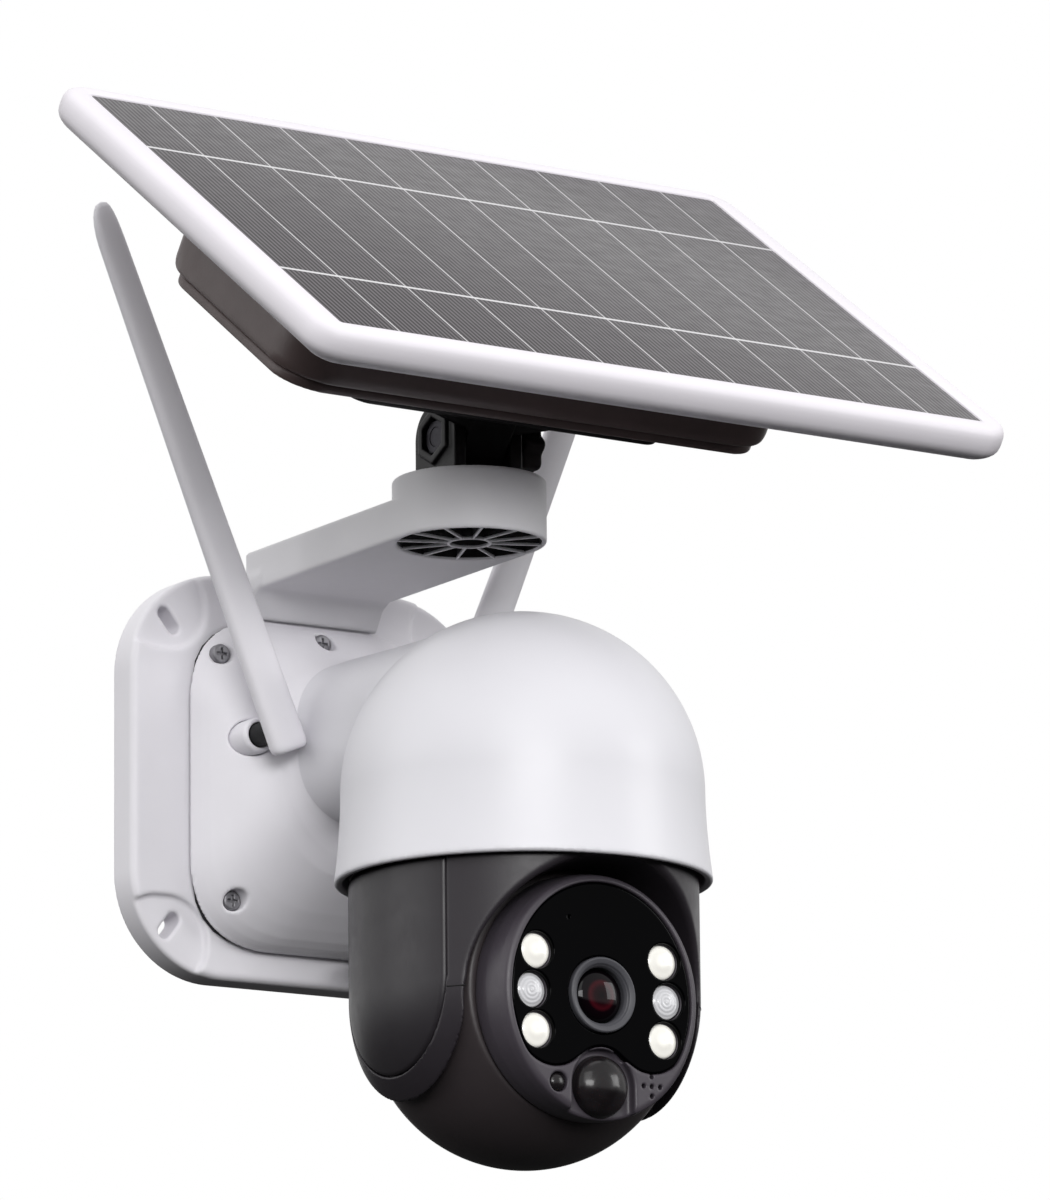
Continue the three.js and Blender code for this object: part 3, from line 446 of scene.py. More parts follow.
def coated_glass():
    """Dark coated lens glass under a clear polished face; its red and violet rings are painted
    reflections of the coating.
    """
    n = Nodes("lens_glass")
    uv = n.add("ShaderNodeUVMap").outputs[0]
    ramp = n.add("ShaderNodeValToRGB")
    # Painted reflection: the coating's red and violet reflections, drawn as rings in the base
    # colour.
    stops = [(0.0, "050103"), (0.32, "1c0409"), (0.5, "3a0a12"), (0.62, "0a0206"), (1.0, "020203")]
    colour_stops(ramp, [(at, linear(colour)) for at, colour in stops])
    n.link(n.split(uv)[0], ramp.inputs[0])
    n.link(ramp.outputs[0], n.shader.inputs["Base Color"])
    n.link(n.ramp(n.noise(uv, 5.0), 0.02, 0.06), n.shader.inputs["Roughness"])
    n.set(IOR=1.22, Coat_Weight=0.15, Coat_Roughness=0.02, Coat_Tint=(0.75, 0.8, 1.0, 1))
    return n.material


lens_glass = coated_glass()


def detector_lens():
    """Dark translucent dome of the movement detector, with faint moulded facets."""
    n = Nodes("pir_lens")
    place = n.add("ShaderNodeTexCoord").outputs["Object"]
    cell = n.add("ShaderNodeTexVoronoi")
    n.link(place, cell.inputs["Vector"])
    cell.inputs["Scale"].default_value = 330
    cloud = n.ramp(n.noise(place, 120.0), 0.0, 1.0)
    n.link(n.mix(cloud, linear("100d0f"), linear("231f21")), n.shader.inputs["Base Color"])
    n.bump(cell.outputs["Distance"], 0.16, 0.0004)
    n.link(n.ramp(n.noise(place, 300.0), 0.16, 0.26), n.shader.inputs["Roughness"])
    n.set(IOR=1.35, Subsurface_Weight=0.05, Coat_Weight=0.2, Coat_Roughness=0.06)
    return n.material


pir_material = detector_lens()

# Between the cells' column lines, from the middle to a row line, and half the lines' widths.
COLUMN, ROW_LINE = 24.77, 47.1
THIN_LINE, DARK_LINE, WIDE_LINE = 0.34, 0.75, 0.72
FINGERS = 14


def solar_face():
    """Dark cells under a clear sheet: bright column and row lines, and fine fingers across."""
    n = Nodes("solar_cells")
    uv = n.add("ShaderNodeUVMap").outputs[0]
    u, v, _ = n.split(uv)
    x = n.math("MULTIPLY", n.math("SUBTRACT", u, 0.5), 2 * CELLS_HALF_X)
    y = n.math("MULTIPLY", n.math("SUBTRACT", v, 0.5), 2 * CELLS_HALF_Y)
    column = n.math("DIVIDE", x, COLUMN)
    near = n.math("ABSOLUTE", n.math("SUBTRACT", column, n.math("ROUND", column)))
    to_column = n.math("MULTIPLY", near, COLUMN)
    inner = n.math("LESS_THAN", n.math("ABSOLUTE", x), 4.5 * COLUMN)
    column_line = n.math("MULTIPLY", n.math("LESS_THAN", to_column, THIN_LINE), inner)
    dark_line = n.math("MULTIPLY", n.math("LESS_THAN", to_column, DARK_LINE), inner)
    to_row = n.math("ABSOLUTE", n.math("SUBTRACT", n.math("ABSOLUTE", y), ROW_LINE))
    row_line = n.math("LESS_THAN", to_row, WIDE_LINE)
    finger = n.math("SINE", n.math("MULTIPLY", x, 2 * math.pi * FINGERS / COLUMN))
    finger = n.math("POWER", n.math("MULTIPLY_ADD", finger, 0.5, 0.5), 1.4)
    cell = n.add("ShaderNodeCombineXYZ")
    n.link(n.math("ROUND", n.math("ADD", column, 0.5)), cell.inputs[0])
    n.link(n.math("ROUND", n.math("DIVIDE", y, 2 * ROW_LINE)), cell.inputs[1])
    shade = n.add("ShaderNodeTexWhiteNoise", noise_dimensions="3D")
    n.link(cell.outputs[0], shade.inputs["Vector"])
    cloud = n.noise(uv, 5.0, 3.0, 0.6)
    purple, green = linear("1a131a"), linear("171813")
    tone = n.mix(n.math("MULTIPLY_ADD", cloud, 0.7, 0.15), purple, green)
    value = n.math("MULTIPLY_ADD", shade.outputs["Value"], 0.10, 0.95)
    bright = n.add("ShaderNodeVectorMath", operation="SCALE")
    n.link(tone, bright.inputs[0])
    n.link(value, bright.inputs["Scale"])
    with_fingers = n.mix(n.math("MULTIPLY", finger, 0.62), bright.outputs[0], linear("858085"))
    with_dark = n.mix(n.math("MULTIPLY", dark_line, 0.55), with_fingers, linear("151317"))
    with_columns = n.mix(n.math("MULTIPLY", column_line, 0.8), with_dark, linear("d0ced0"))
    n.link(n.mix(n.math("MULTIPLY", row_line, 0.9), with_columns, linear("d9d8da")),
           n.shader.inputs["Base Color"])
    n.link(n.ramp(n.noise(uv, 30.0, 4.0), 0.30, 0.40), n.shader.inputs["Roughness"])
    n.set(IOR=1.3, Coat_Weight=0.2, Coat_Roughness=0.2)
    return n.material


solar_material = solar_face()


def set_uv(piece, at, function):
    """UVs from each vertex's place, in millimetres, in the given frame."""
    back = at.inverted()
    layer = piece.data.uv_layers.new(name="UVMap")
    local = [function(back @ (v.co * 1000)) for v in piece.data.vertices]
    for loop in piece.data.loops:
        layer.data[loop.index].uv = local[loop.vertex_index]


# ---------------------------------------------------------------- wall plate and base housing
def plate_field(x, y, z):
    body = slab2(rect2(x, z, PLATE_HALF, PLATE_HALF, PLATE_CORNER), y, -PLATE_THICK, 4, 2.4)
    body = smax(body, y, 0.7)
    ax, az = np.abs(x), np.abs(z)
    pad = rect2(ax - PAD_MID[0], az - PAD_MID[1], *PAD_HALF, PAD_CORNER)
    body = smax(body, -smax(pad, y + PLATE_THICK - PAD_DEPTH, 1.2), 1.4)
    c, s = math.cos(SLOT_TURN), math.sin(SLOT_TURN)
    dx, dz = ax - SLOT_AT[0], az - SLOT_AT[1]
    slot = rect2(dx * c + dz * s, -dx * s + dz * c, *SLOT_HALF, SLOT_HALF[1])
    return smax(body, -slot, 0.9)


make("wall_plate_shell", net(plate_field, (-67, -13, -67), (67, 0, 67), 0.8), "base", white_shell,
     nodes=["wall_plate"])

# How far the housing's outline has drawn in at each distance from the wall.
HOUSING_PROFILE = np.array([(14, 0), (15.5, 0.1), (17, 0.7), (18.6, 1.7), (21, 3.7), (24, 6.9),
                            (28, 11.6), (32, 16.8), (35.5, 21.6), (37.7, 26), (40, 34), (44, 50)])


def neck_width(t):
    return NECK_HALF_X - np.interp(t, (100, 114, 126), (0, 0.4, 2))


def neck_outline(x, z, t):
    top = NECK_HIGH - np.interp(t, (24, 50, 76, 100, 114, 126), (0, 0.3, 1.3, 1.9, 4, 8))
    return np.hypot(x, z - np.clip(z, NECK_LOW, top)) - neck_width(t)


def housing_field(x, y, z):
    t = -y
    across = smax(np.abs(x) - HOUSING_HALF_X, np.abs(z - HOUSING_Z) - HOUSING_HALF_Z, 30)
    inset = np.interp(t, *HOUSING_PROFILE.T) - 0.7 * np.clip((17 - t) / 2.4, 0, 1) ** 2
    body = (across + inset) * 0.62
    body = smax(body, HOUSING_BACK - t, 0.8)
    for sx, sz in HOUSING_SCREWS:
        hole = np.hypot(x - sx, z - sz) - 3.4
        body = smax(body, -smax(hole, SCREW_SEAT - t, 0.4), 0.9)
    for side in (-1, 1):
        hole = np.hypot(x - side * BLADE_X, z - BLADE_Z) - SOCKET_R - 0.15
        body = smax(body, -smax(hole, 22.5 - t, 0.4), 0.9)
    return fillet_to_neck(body, x, z, t)


def fillet_to_neck(body, x, z, t):
    """The soft root where the housing meets the neck; it keeps inside the neck's wall."""
    neck = neck_outline(x, z, t)
    root = np.maximum(neck + 0.3, t - 47)
    body = smax(smin(body, root, 10.0), HOUSING_BACK - t, 0.6)
    return np.maximum(body, -np.maximum(neck + 2.3, 22 - t))


make("base_housing_shell", net(housing_field, (-48.5, -47.5, -58.5), (48.5, -14, 53.5), 0.75),
     "base", white_shell, nodes=["base_housing"])


def screw_field(x, y, z):
    head = slab2(np.hypot(x, y) - 3.2, z, -2, 2, 0.7)
    cross = np.minimum(rect2(x, y, 1.9, 0.42), rect2(x, y, 0.42, 1.9))
    return smax(head, -smax(cross, 0.9 - z, 0.1), 0.25)


screw = net(screw_field, (-3.3, -3.3, -0.6), (3.3, 3.3, 2.1), 0.2)
for number, (sx, sz) in enumerate(HOUSING_SCREWS, 1):
    at = moved(sx, -SCREW_SEAT - 0.1, sz) @ WALL
    make(f"housing_screw_head_{number}", screw, "base", screw_steel, at,
         [f"housing_screw_{number}"])


# ---------------------------------------------------------------- dome with its neck
def dome_outer(x, y, z):
    r = np.hypot(x, y - DOME_Y)
    drop = np.clip((DOME_CENTRE_Z - z) / 28.9, 0, 1.2)
    skirt = r - DOME_R - 2.2 * drop ** 1.8
    ball = np.sqrt(r ** 2 + np.maximum(z - DOME_CENTRE_Z, 0) ** 2) - DOME_R
    return np.where(z > DOME_CENTRE_Z, ball, skirt)


def dome_field(x, y, z):
    t = -y
    outer = dome_outer(x, y, z)
    neck = np.maximum(neck_outline(x, z, t), t - 140)
    whole = smin(outer, neck, 3.0)
    whole = smax(whole, NECK_START - t, 0.5)
    whole = smax(whole, RIM_Z - z, 1.3)
    return smax(whole, -(outer + 2.6), 1.0)


make("dome_shell_gloss", net(dome_field, (-60, -200.5, -54), (60, -23, 38), 0.95), "base",
     white_gloss, nodes=["dome_shell"])


# ---------------------------------------------------------------- solar arm
def arm_field(x, y, z):
    plan = np.hypot(x, np.minimum(y - ARM_END_Y, 0)) - ARM_HALF
    plan = np.maximum(plan, y + PLATE_THICK + 0.3)
    beam = slab2(plan, z, ARM_Z, ARM_Z + ARM_THICK, 1.1)
    radius = np.hypot(x, y - ARM_END_Y)
    cup = slab2(radius - ARM_HALF, z, ARM_Z, CUP_TOP, 1.1)
    slope = (-(y + 14.4) * 5.4 - (z - 52.6) * 3.6) / 6.5
    heel = smax(slab2(np.abs(x) - ARM_HALF, z, 52.6, 66, 1.0), slope, 1.5)
    heel = np.maximum(heel, y + PLATE_THICK + 0.3)
    heel = np.maximum(heel, -22 - y)
    body = smin(np.minimum(beam, cup), heel, 3.0)
    body = smax(body, -smax(radius - 21, CUP_TOP - 6 - z, 0.8), 0.8)
    return smax(body, -smax(radius - 23.0, z - ARM_Z - 8, 0.8), 0.7)


make("solar_arm_shell", net(arm_field, (-25, -136, 52), (25, -12.5, 82), 0.7), "base", white_arm,
     nodes=["solar_arm"])


def rib_field(x, y, z):
    body = np.abs(np.hypot(x, y) - 6.7) - 0.55
    for i in range(6):
        a = math.radians(i * 30 + 8)
        rib = np.abs(x * math.sin(a) - y * math.cos(a)) - 0.4
        body = np.minimum(body, np.maximum(rib, 6.4 - np.hypot(x, y)))
    body = smax(body, np.hypot(x, y) - 23.4, 0.2)
    return smax(body, np.abs(z) - 0.5, 0.2)


verts, faces = net(rib_field, (-23.6, -23.6, -0.7), (23.6, 23.6, 0.7), 0.34)
make("arm_rib_edges", (verts, faces), "base", white_arm, moved(0, ARM_END_Y, ARM_Z + 0.6))
# Painted shade: the rib webs are the ribs drawn deep in black, standing for the shade on their
# sides.
deep = np.array(verts) * np.array((1, 1, 6.2))
make("arm_rib_webs_painted_shade", (deep, faces), "base", seam_black_and_painted_shade, moved(0, ARM_END_Y, ARM_Z + 4.3))
# Painted shade: a black cup inside the recess under the arm's end, standing for the shade in it.
profile = [(0, 0), (22.9, 0), (22.9, -7.2), (22.3, -7.2), (22.3, -0.6), (0, -0.6)]
verts, faces = lathe(rounded(profile, 0.3))
make("arm_recess_painted_shade", (verts, [f[::-1] for f in faces]), "base", seam_black_and_painted_shade,
     moved(0, ARM_END_Y, ARM_Z + 7.9))


# ---------------------------------------------------------------- antennas
def blade_ring(z, half_width, half_depth, shift, power=2.6, count=48):
    ring = []
    for i in range(count):
        a = 2 * math.pi * i / count
        c, s = math.cos(a), math.sin(a)
        ring.append((shift + half_width * math.copysign(abs(c) ** (2 / power), c),
                     half_depth * math.copysign(abs(s) ** (2 / power), s), z))
    return ring


# Height, half width and half depth of the rings that round the blade's lower end.
BLADE_FOOT = [(-8.1, 3.9, 1.4), (-8.0, 5.0, 2.4), (-7.6, 5.8, 3.0), (-6.8, 6.35, 3.35),
              (-5.8, 6.6, 3.45)]
for name, side in (("left", -1), ("right", 1)):
    at = moved(side * BLADE_X, BLADE_Y, BLADE_Z) @ turned(side * BLADE_LEAN, "Y")
    mid = -side * BLADE_SHIFT
    rings = [blade_ring(*station, mid) for station in BLADE_FOOT]
    for i in range(15):
        u = i / 14
        rings.append(blade_ring(-5 + u * (BLADE_LENGTH - 9), 6.65 - 1.9 * u, 3.45 - 0.95 * u, mid))
    for u in (0.25, 0.5, 0.7, 0.85, 0.95, 1.0):
        drop = math.sqrt(max(0.0, 1 - u * u))
        rings.append(blade_ring(BLADE_LENGTH - 14 + 13.6 * u, 0.35 + 4.35 * drop ** 0.8,
                                0.3 + 2.2 * drop ** 0.8, mid - side * 1.0 * u * u))
    make(f"antenna_{name}_blade", loft(rings), f"antenna_{name}", white_shell, at,
         [f"antenna_blade_{name}"], sharp=50)
    seat = moved(side * BLADE_X, 0, BLADE_Z) @ WALL
    # Painted shade: the stub gets the black rubber so that it reads as the shaded gap under the
    # blade's foot.
    profile = [(0, 23.4), (3.8, 23.4), (3.8, 42), (3.2, 44), (0, 44)]
    make(f"antenna_{name}_stub", lathe(rounded(profile, 0.6)), f"antenna_{name}", rubber, seat,
         sharp=40)
    profile = [(4.1, 22.8), (SOCKET_R, 22.8), (SOCKET_R, 33.4), (5.1, 34.4), (4.1, 34.4),
               (4.1, 22.8)]
    make(f"antenna_{name}_socket", lathe(rounded(profile, 0.5)), "base", white_shell, seat,
         [f"antenna_socket_{name}"], sharp=40)


def cap_field(x, y, z):
    cap = slab2(np.hypot(x, y) - 6, z, 0.1, 5.2, 1.3)
    tab = slab2(rect2(x - 7.5, y, 5, 1.6, 1.4), z, 0.4, 1.8, 0.5)
    grip = np.abs(np.mod(x + 0.6, 1.2) - 0.6) - 0.25
    tab = smax(tab, -smax(np.maximum(grip, 8.4 - x), z - 0.8, 0.1), 0.2)
    return smin(cap, tab, 0.8)


make("power_inlet_cap", net(cap_field, (-6.2, -6.2, 0), (12.7, 6.2, 5.4), 0.3), "base", rubber,
     moved(INLET_X, -19.2, HOUSING_Z - HOUSING_HALF_Z - 5.6), ["power_inlet"])


# ---------------------------------------------------------------- panel bracket
def fork_field(x, y, z):
    radius = np.hypot(x, y)
    foot = slab2(radius - 20.6, z, CUP_TOP - 5.7, 79.8, 1.3)
    round_top = np.hypot(y, z - PIVOT_Z) - 11.5
    ear = np.minimum(round_top, np.maximum(np.abs(y) - 11.5, np.maximum(z - PIVOT_Z, 78 - z)))
    middle = (FORK_INNER + FORK_OUTER) / 2
    ears = rect2_signed(ear, np.abs(np.abs(x) - middle) - (FORK_OUTER - FORK_INNER) / 2, 0.8)
    body = smin(foot, ears, 3.0)
    spigot = np.maximum(radius - 3.1, np.maximum(64.5 - z, z - 78))
    body = smin(body, spigot, 1.0)
    gusset = np.maximum(np.maximum(12 - x, 79 - z), (x - 12) * 0.57 + (z - 84) * 0.82)
    body = smin(body, smax(gusset, np.abs(y) - 3, 0.8), 2.0)
    a, b = np.abs(y), np.abs(z - PIVOT_Z)
    hexagon = np.maximum(b * 0.866 + a * 0.5, a) - 8.0
    body = smin(body, smax(hexagon, np.maximum(x + 12, -14.3 - x), 0.7), 0.6)
    pocket = np.maximum(np.maximum(b * 0.866 + a * 0.5, a) - 5.4, x + 10.3)
    body = smax(body, -pocket, 0.5)
    return smax(body, -(np.hypot(y, z - PIVOT_Z) - 3.3), 0.5)


make("panel_fork_body", net(fork_field, (-21, -21, 64), (21, 21, 107), 0.5), "swivel",
     bracket_black, SWIVEL, ["panel_fork"])


def knob_field(x, y, z):
    angle, radius = np.arctan2(y, x), np.hypot(x, y)
    grip = slab2(radius - 9.5 - 0.75 * np.cos(8 * angle), z, 15.3, 23, 1.1)
    dish = np.hypot(radius, z - 31.4) - 10.2
    grip = smax(grip, -dish, 0.8)
    neck = slab2(radius - 6, z, 13.6, 16.5, 0.4)
    seat = np.maximum(radius - 3.2, z - 17.4)
    return smax(smin(grip, neck, 0.8), -seat, 0.2)


make("clamp_knob_grip", net(knob_field, (-10.4, -10.4, 13), (10.4, 10.4, 23.2), 0.34), "knob",
     knob_brown, PIVOT, ["clamp_knob"])


def foot_field(x, y, z):
    plate = slab2(rect2(x, y, *FOOT_HALF, 7), z, FOOT_BOTTOM, LID_BOTTOM - 0.3, 1.2)
    eye = np.minimum(np.hypot(y, z) - EYE_R, np.maximum(np.abs(y) - EYE_R, np.maximum(-z, z - 16)))
    tongue = rect2_signed(eye, np.abs(x) - FORK_INNER + 0.3, 0.8)
    rib_line = 14.2 - np.abs(x) * 0.24
    rib = np.maximum(np.abs(np.abs(y) - 8) - 1.1, rib_line - 8 - z)
    rib = np.maximum(rib, np.maximum(z - 16, np.abs(x) - 34))
    body = smin(smin(plate, tongue, 3.5), smax(rib, 4.6 - z + np.abs(x) * 0.28, 0.6), 1.2)
    return smax(body, -(np.hypot(y, z) - 3.3), 0.5)


make("panel_foot_body", net(foot_field, (-59.5, -19, -11), (59.5, 19, 20), 0.7), "panel",
     bracket_black, PANEL, ["panel_foot"])


# ---------------------------------------------------------------- panel box, frame and cells
def rect_ring(z, half_x, half_y, radius, steps=12, mid_x=0.0, mid_y=0.0):
    """Points of a rounded rectangle, anticlockwise."""
    ring = []
    for sx, sy, start in ((1, 1, 0), (-1, 1, 90), (-1, -1, 180), (1, -1, 270)):
        for i in range(steps + 1):
            a = math.radians(start + 90 * i / steps)
            ring.append((mid_x + sx * (half_x - radius) + radius * math.cos(a),
                         mid_y + sy * (half_y - radius) + radius * math.sin(a), z))
    return ring


def rect_stack(half_x, half_y, radius, stations, mid=(0, 0), least=0.4):
    """Rings of a rounded block; each station is (height, inset)."""
    return [rect_ring(z, half_x - inset, half_y - inset, max(radius - inset, least), 14, *mid)
            for z, inset in stations]


FRAME_BOTTOM = PANEL_TOP - FRAME_THICK
BOX_MID = (BOX_X, BOX_Y)
inner = [(48, 0), (24.4, 0), (24.0, 0.1)]
outer = [(24.0, 2.2), (24.25, 1.5), (24.8, 0.85), (25.6, 0.4), (26.8, 0.1), (28, 0), (50.6, 0),
         (51.5, 0.3), (51.9, 0.9)]
rings = rect_stack(BOX_HALF_X - 5.5, BOX_HALF_Y - 5.5, 12.5, inner, BOX_MID)
rings += rect_stack(BOX_HALF_X, BOX_HALF_Y, 18, outer, BOX_MID)
make("box_body_shell", loft(rings), "panel", box_brown, PANEL, ["box_body"], sharp=35)


def lid_field(x, y, z):
    x, y = x - BOX_X, y - BOX_Y
    d = rect2(x, y, BOX_HALF_X - 2.5, BOX_HALF_Y - 4.5, 14)
    body = slab2(d, z, LID_BOTTOM, LID_TOP, 1.0)
    groove = np.abs(d + 5.5) - 0.5
    body = smax(body, -smax(groove, z - LID_BOTTOM - 0.5, 0.2), 0.3)
    recess = np.hypot(np.abs(x) - LID_SCREW_X, np.abs(y) - LID_SCREW_Y) - 3
    return smax(body, -smax(recess, z - LID_BOTTOM - 1.2, 0.2), 0.3)


make("box_lid_plate", net(lid_field, (-93, -32.5, 19.8), (91, 59.5, 23.9), 0.75), "panel",
     box_brown, PANEL, ["box_lid"])
for number, (sx, sy) in enumerate(((-1, -1), (1, -1), (-1, 1), (1, 1)), 1):
    at = PANEL @ moved(BOX_X + sx * LID_SCREW_X, BOX_Y + sy * LID_SCREW_Y, LID_BOTTOM + 1.2)
    at = at @ turned(180, "X") @ Matrix.Scale(LID_SCREW_SCALE, 4)
    make(f"lid_screw_head_{number}", screw, "panel", dark_steel, at)

outer = [(0, 6.4), (0.5, 5.1), (1.2, 3.8), (1.9, 2.7), (2.7, 1.75), (3.6, 0.9), (4.7, 0.3),
         (6, 0.05), (7.4, 0), (9.2, 0.1), (10.6, 0.5), (11.4, 0.95), (12.0, 1.6), (12.4, 2.3),
         (12.6, 3.1)]
inside = [(12.6, 0.9), (12.45, 0.55), (12.1, 0.35), (9.3, 0.3), (9.3, -4), (2.3, -4), (2.3, 0.3),
          (0, 0.3)]
rings = [rect_ring(FRAME_BOTTOM + z, FRAME_HALF_X - i, FRAME_HALF_Y - i, max(12 - i, 0.6),
                   16, 0, FRAME_Y) for z, i in outer]
rings += [rect_ring(FRAME_BOTTOM + z, CELLS_HALF_X + i, CELLS_HALF_Y + i, 1.2, 16, 0, FRAME_Y)
          for z, i in inside]
make("panel_frame_moulding", loft(rings + rings[:1], False, False), "panel", white_frame, PANEL,
     ["panel_frame"], sharp=35)

stations = [(3, 0), (0.7, 0), (0.48, 0.08), (0.4, 0.3)]
stations = [(PANEL_TOP - drop, inset) for drop, inset in stations]
rings = rect_stack(CELLS_HALF_X, CELLS_HALF_Y, 1, stations, (0, FRAME_Y))
cells = make("solar_cell_sheet", loft(rings), "panel", solar_material, PANEL, ["solar_cells"],
             sharp=35)
set_uv(cells, PANEL, lambda p: (p.x / (2 * CELLS_HALF_X) + 0.5,
                                (p.y - FRAME_Y) / (2 * CELLS_HALF_Y) + 0.5))

stations = [(0, 0.5), (0.3, 0.1), (0.8, 0), (2, 0)]
stations = [(FRAME_BOTTOM + rise, inset) for rise, inset in stations]
rings = rect_stack(CELLS_HALF_X, CELLS_HALF_Y, 2.8, stations, (0, FRAME_Y))
make("back_sheet_plate", loft(rings), "panel", white_frame, PANEL, ["back_sheet"],
     sharp=35)

profile = [(0, -6), (3.7, -6), (3.7, 0.3), (5.6, 0.3), (5.6, 4.6), (4.6, 5.2), (3.4, 5.2),
           (3.2, 4.7), (2.2, 4.7), (2, 5.1), (0, 5.2)]
at = PANEL @ moved(58, BOX_Y + BOX_HALF_Y, 36) @ turned(-90, "X")
make("panel_socket_cap", lathe(rounded(profile, 0.4)), "panel", rubber, at, ["panel_socket"],
     sharp=50)


# ---------------------------------------------------------------- pan head
def head_outer(x, y, z, inset=0.0):
    fall = np.minimum(z - HEAD_Z, 0)
    return length3(x, y, fall) - HEAD_R + inset


def cover_outline(y, z, radius):
    """The U of a side cover, round at its lower end."""
    return np.hypot(y, np.minimum(z - EAR_Z, 0)) - radius


def arch_field(x, y, z):
    t = -y
    grow = np.clip((t - 32) / 24, 0, 1.2)
    half, top = 41.6 + 2.9 * grow, 38.9 + 2.6 * grow
    height = z - TILT_Z
    tunnel = (np.hypot(x / half, height / top) - 1) * 40
    return np.maximum(tunnel, y + 4)


def head_field(x, y, z):
    ax = np.abs(x)
    drum = head_outer(x, y, z)
    collar = np.maximum(np.hypot(x, y) - 52.5, np.maximum(z + 38, HEAD_TOP - 4 - z))
    body = np.minimum(smax(drum, z - HEAD_TOP, 1.0), collar)
    ears = cover_outline(y, z, EAR_R)
    body = smax(body, smin(ears, TILT_Z - z, 4.0), 1.8)
    room = length3(x, y, z - TILT_Z) - BALL_R - 1
    room = np.maximum(room, ax - EAR_INNER_X)
    under = np.maximum(ax - EAR_INNER_X, z - TILT_Z)
    body = smax(body, -smin(room, under, 1.0), 0.8)
    body = smax(body, -arch_field(x, y, z), 2.6)
    pocket = np.maximum(cover_outline(y, z, COVER_R + 0.15), -head_outer(ax, y, z, 2.4))
    pocket = np.maximum(pocket, np.maximum(30 - ax, z - HEAD_TOP + 1))
    body = smax(body, -pocket, 0.5)
    bore = np.maximum(np.hypot(y, z - TILT_Z) - 4.1, 30 - ax)
    return np.maximum(body, -bore)


make("pan_body_shell", net(head_field, (-55, -55, -126), (55, 55, -38), 0.62), "pan", charcoal,
     HEAD, ["pan_body"])

profile = [(8, -39), (12.5, -39), (12.5, -30.2), (7.7, -30.2), (7.7, -24), (0, -24)]
make("pan_hub", lathe(rounded(profile, 0.4)), "pan", charcoal, HEAD, sharp=40)


def cover_field(x, y, z):
    plate = smax(cover_outline(y, z, COVER_R - 0.3), z - HEAD_TOP + 1.6, 0.4)
    skin = np.maximum(head_outer(x, y, z, 0.12), -head_outer(x, y, z, 2.1))
    return np.maximum(smax(plate, skin, 0.9), 30 - x)


cover = net(cover_field, (34, -28.5, -118), (54.6, 28.5, -51.8), 0.5)
for name, turn in (("right", 0), ("left", 180)):
    make(f"ear_cover_{name}_skin", cover, "pan", charcoal_cover, HEAD @ turned(turn, "Z"),
         [f"ear_cover_{name}"])


def seam_strip(low, high):
    """A thin strip on the drum at the tilt axis, between two angles from the front."""
    section = ((54.3, -0.17), (54.3, 0.17), (54.53, 0.17), (54.56, 0), (54.53, -0.17))
    rings = []
    for i in range(9):
        a = math.radians(low + (high - low) * i / 8)
        rings.append([(r * math.sin(a), -r * math.cos(a), TILT_Z + z) for r, z in section])
    return loft(rings)


for name, low, high in (("right", 51.6, 58.4), ("left", -58.4, -51.6)):
    make(f"hood_seam_{name}", seam_strip(low, high), "pan", seam_black_and_painted_shade, HEAD)


# ---------------------------------------------------------------- ball and face
def ball_field(x, y, z):
    body = smax(length3(x, y, z) - BALL_R, np.abs(x) - BALL_HALF_X, 0.9)
    body = smax(body, -(y + 30.2), 0.4)
    hollow = np.maximum(length3(x, y, z) - BALL_R + 3, np.abs(x) - BALL_HALF_X + 3)
    body = np.maximum(body, -hollow)
    c, s = math.cos(math.radians(HATCH_TURN)), math.sin(math.radians(HATCH_TURN))
    up, out = y * c + z * s, -y * s + z * c
    hatch = np.maximum(rect2(x, up, 9, 6, 1.5), 40 - out)
    body = smax(body, -hatch, 0.5)
    return np.maximum(body, -(np.hypot(y, z) - 3.9))


make("ball_shell_skin", net(ball_field, (-42, -31, -50), (42, 50, 50), 0.8), "ball", charcoal_ball_painted_light,
     BALL, ["ball_shell"])


def hatch_field(x, y, z):
    lid = rect2(x, y, 8.7, 5.7, 1.4)
    radius = length3(x, y, z)
    body = smax(lid, radius - BALL_R + 0.1, 0.7)
    grip = rect2(x, y + 3.6, 4, 0.7, 0.6)
    body = smax(body, -smax(grip, BALL_R - 0.9 - radius, 0.3), 0.4)
    return np.maximum(body, BALL_R - 2.4 - radius)


make("card_hatch_lid", net(hatch_field, (-9, -6, 46), (9, 6, 49.4), 0.3), "ball", charcoal_cover,
     BALL @ turned(HATCH_TURN, "X"), ["card_hatch"])


def face_outline():
    half = [(0, -16), (4.4, -17), (8.2, -19.6), (12.5, -22.1), (16, -23), (19.5, -23),
            (23.3, -21.9), (26.9, -19.4), (29.8, -14.3), (31.9, -7), (32.5, 0)]
    for angle in (15, 30, 45, 60, 75):
        half.append((32.5 * math.cos(math.radians(angle)), 35 * math.sin(math.radians(angle))))
    mirrored = [(-x, y) for x, y in reversed(half[1:])]
    points = half + [(0, 35)] + mirrored
    count = len(points)
    out = []
    for i in range(count):
        p0, p1, p2, p3 = (np.array(points[(i + k) % count], float) for k in (-1, 0, 1, 2))
        for t in (0, 0.25, 0.5, 0.75):
            out.append(0.5 * (2 * p1 + (p2 - p0) * t + (2 * p0 - 5 * p1 + 4 * p2 - p3) * t ** 2
                              + (3 * p1 - p0 - 3 * p2 + p3) * t ** 3))
    return np.array(out)


OUTLINE = face_outline()
MAP_STEP, MAP_HALF = 0.25, 42.0


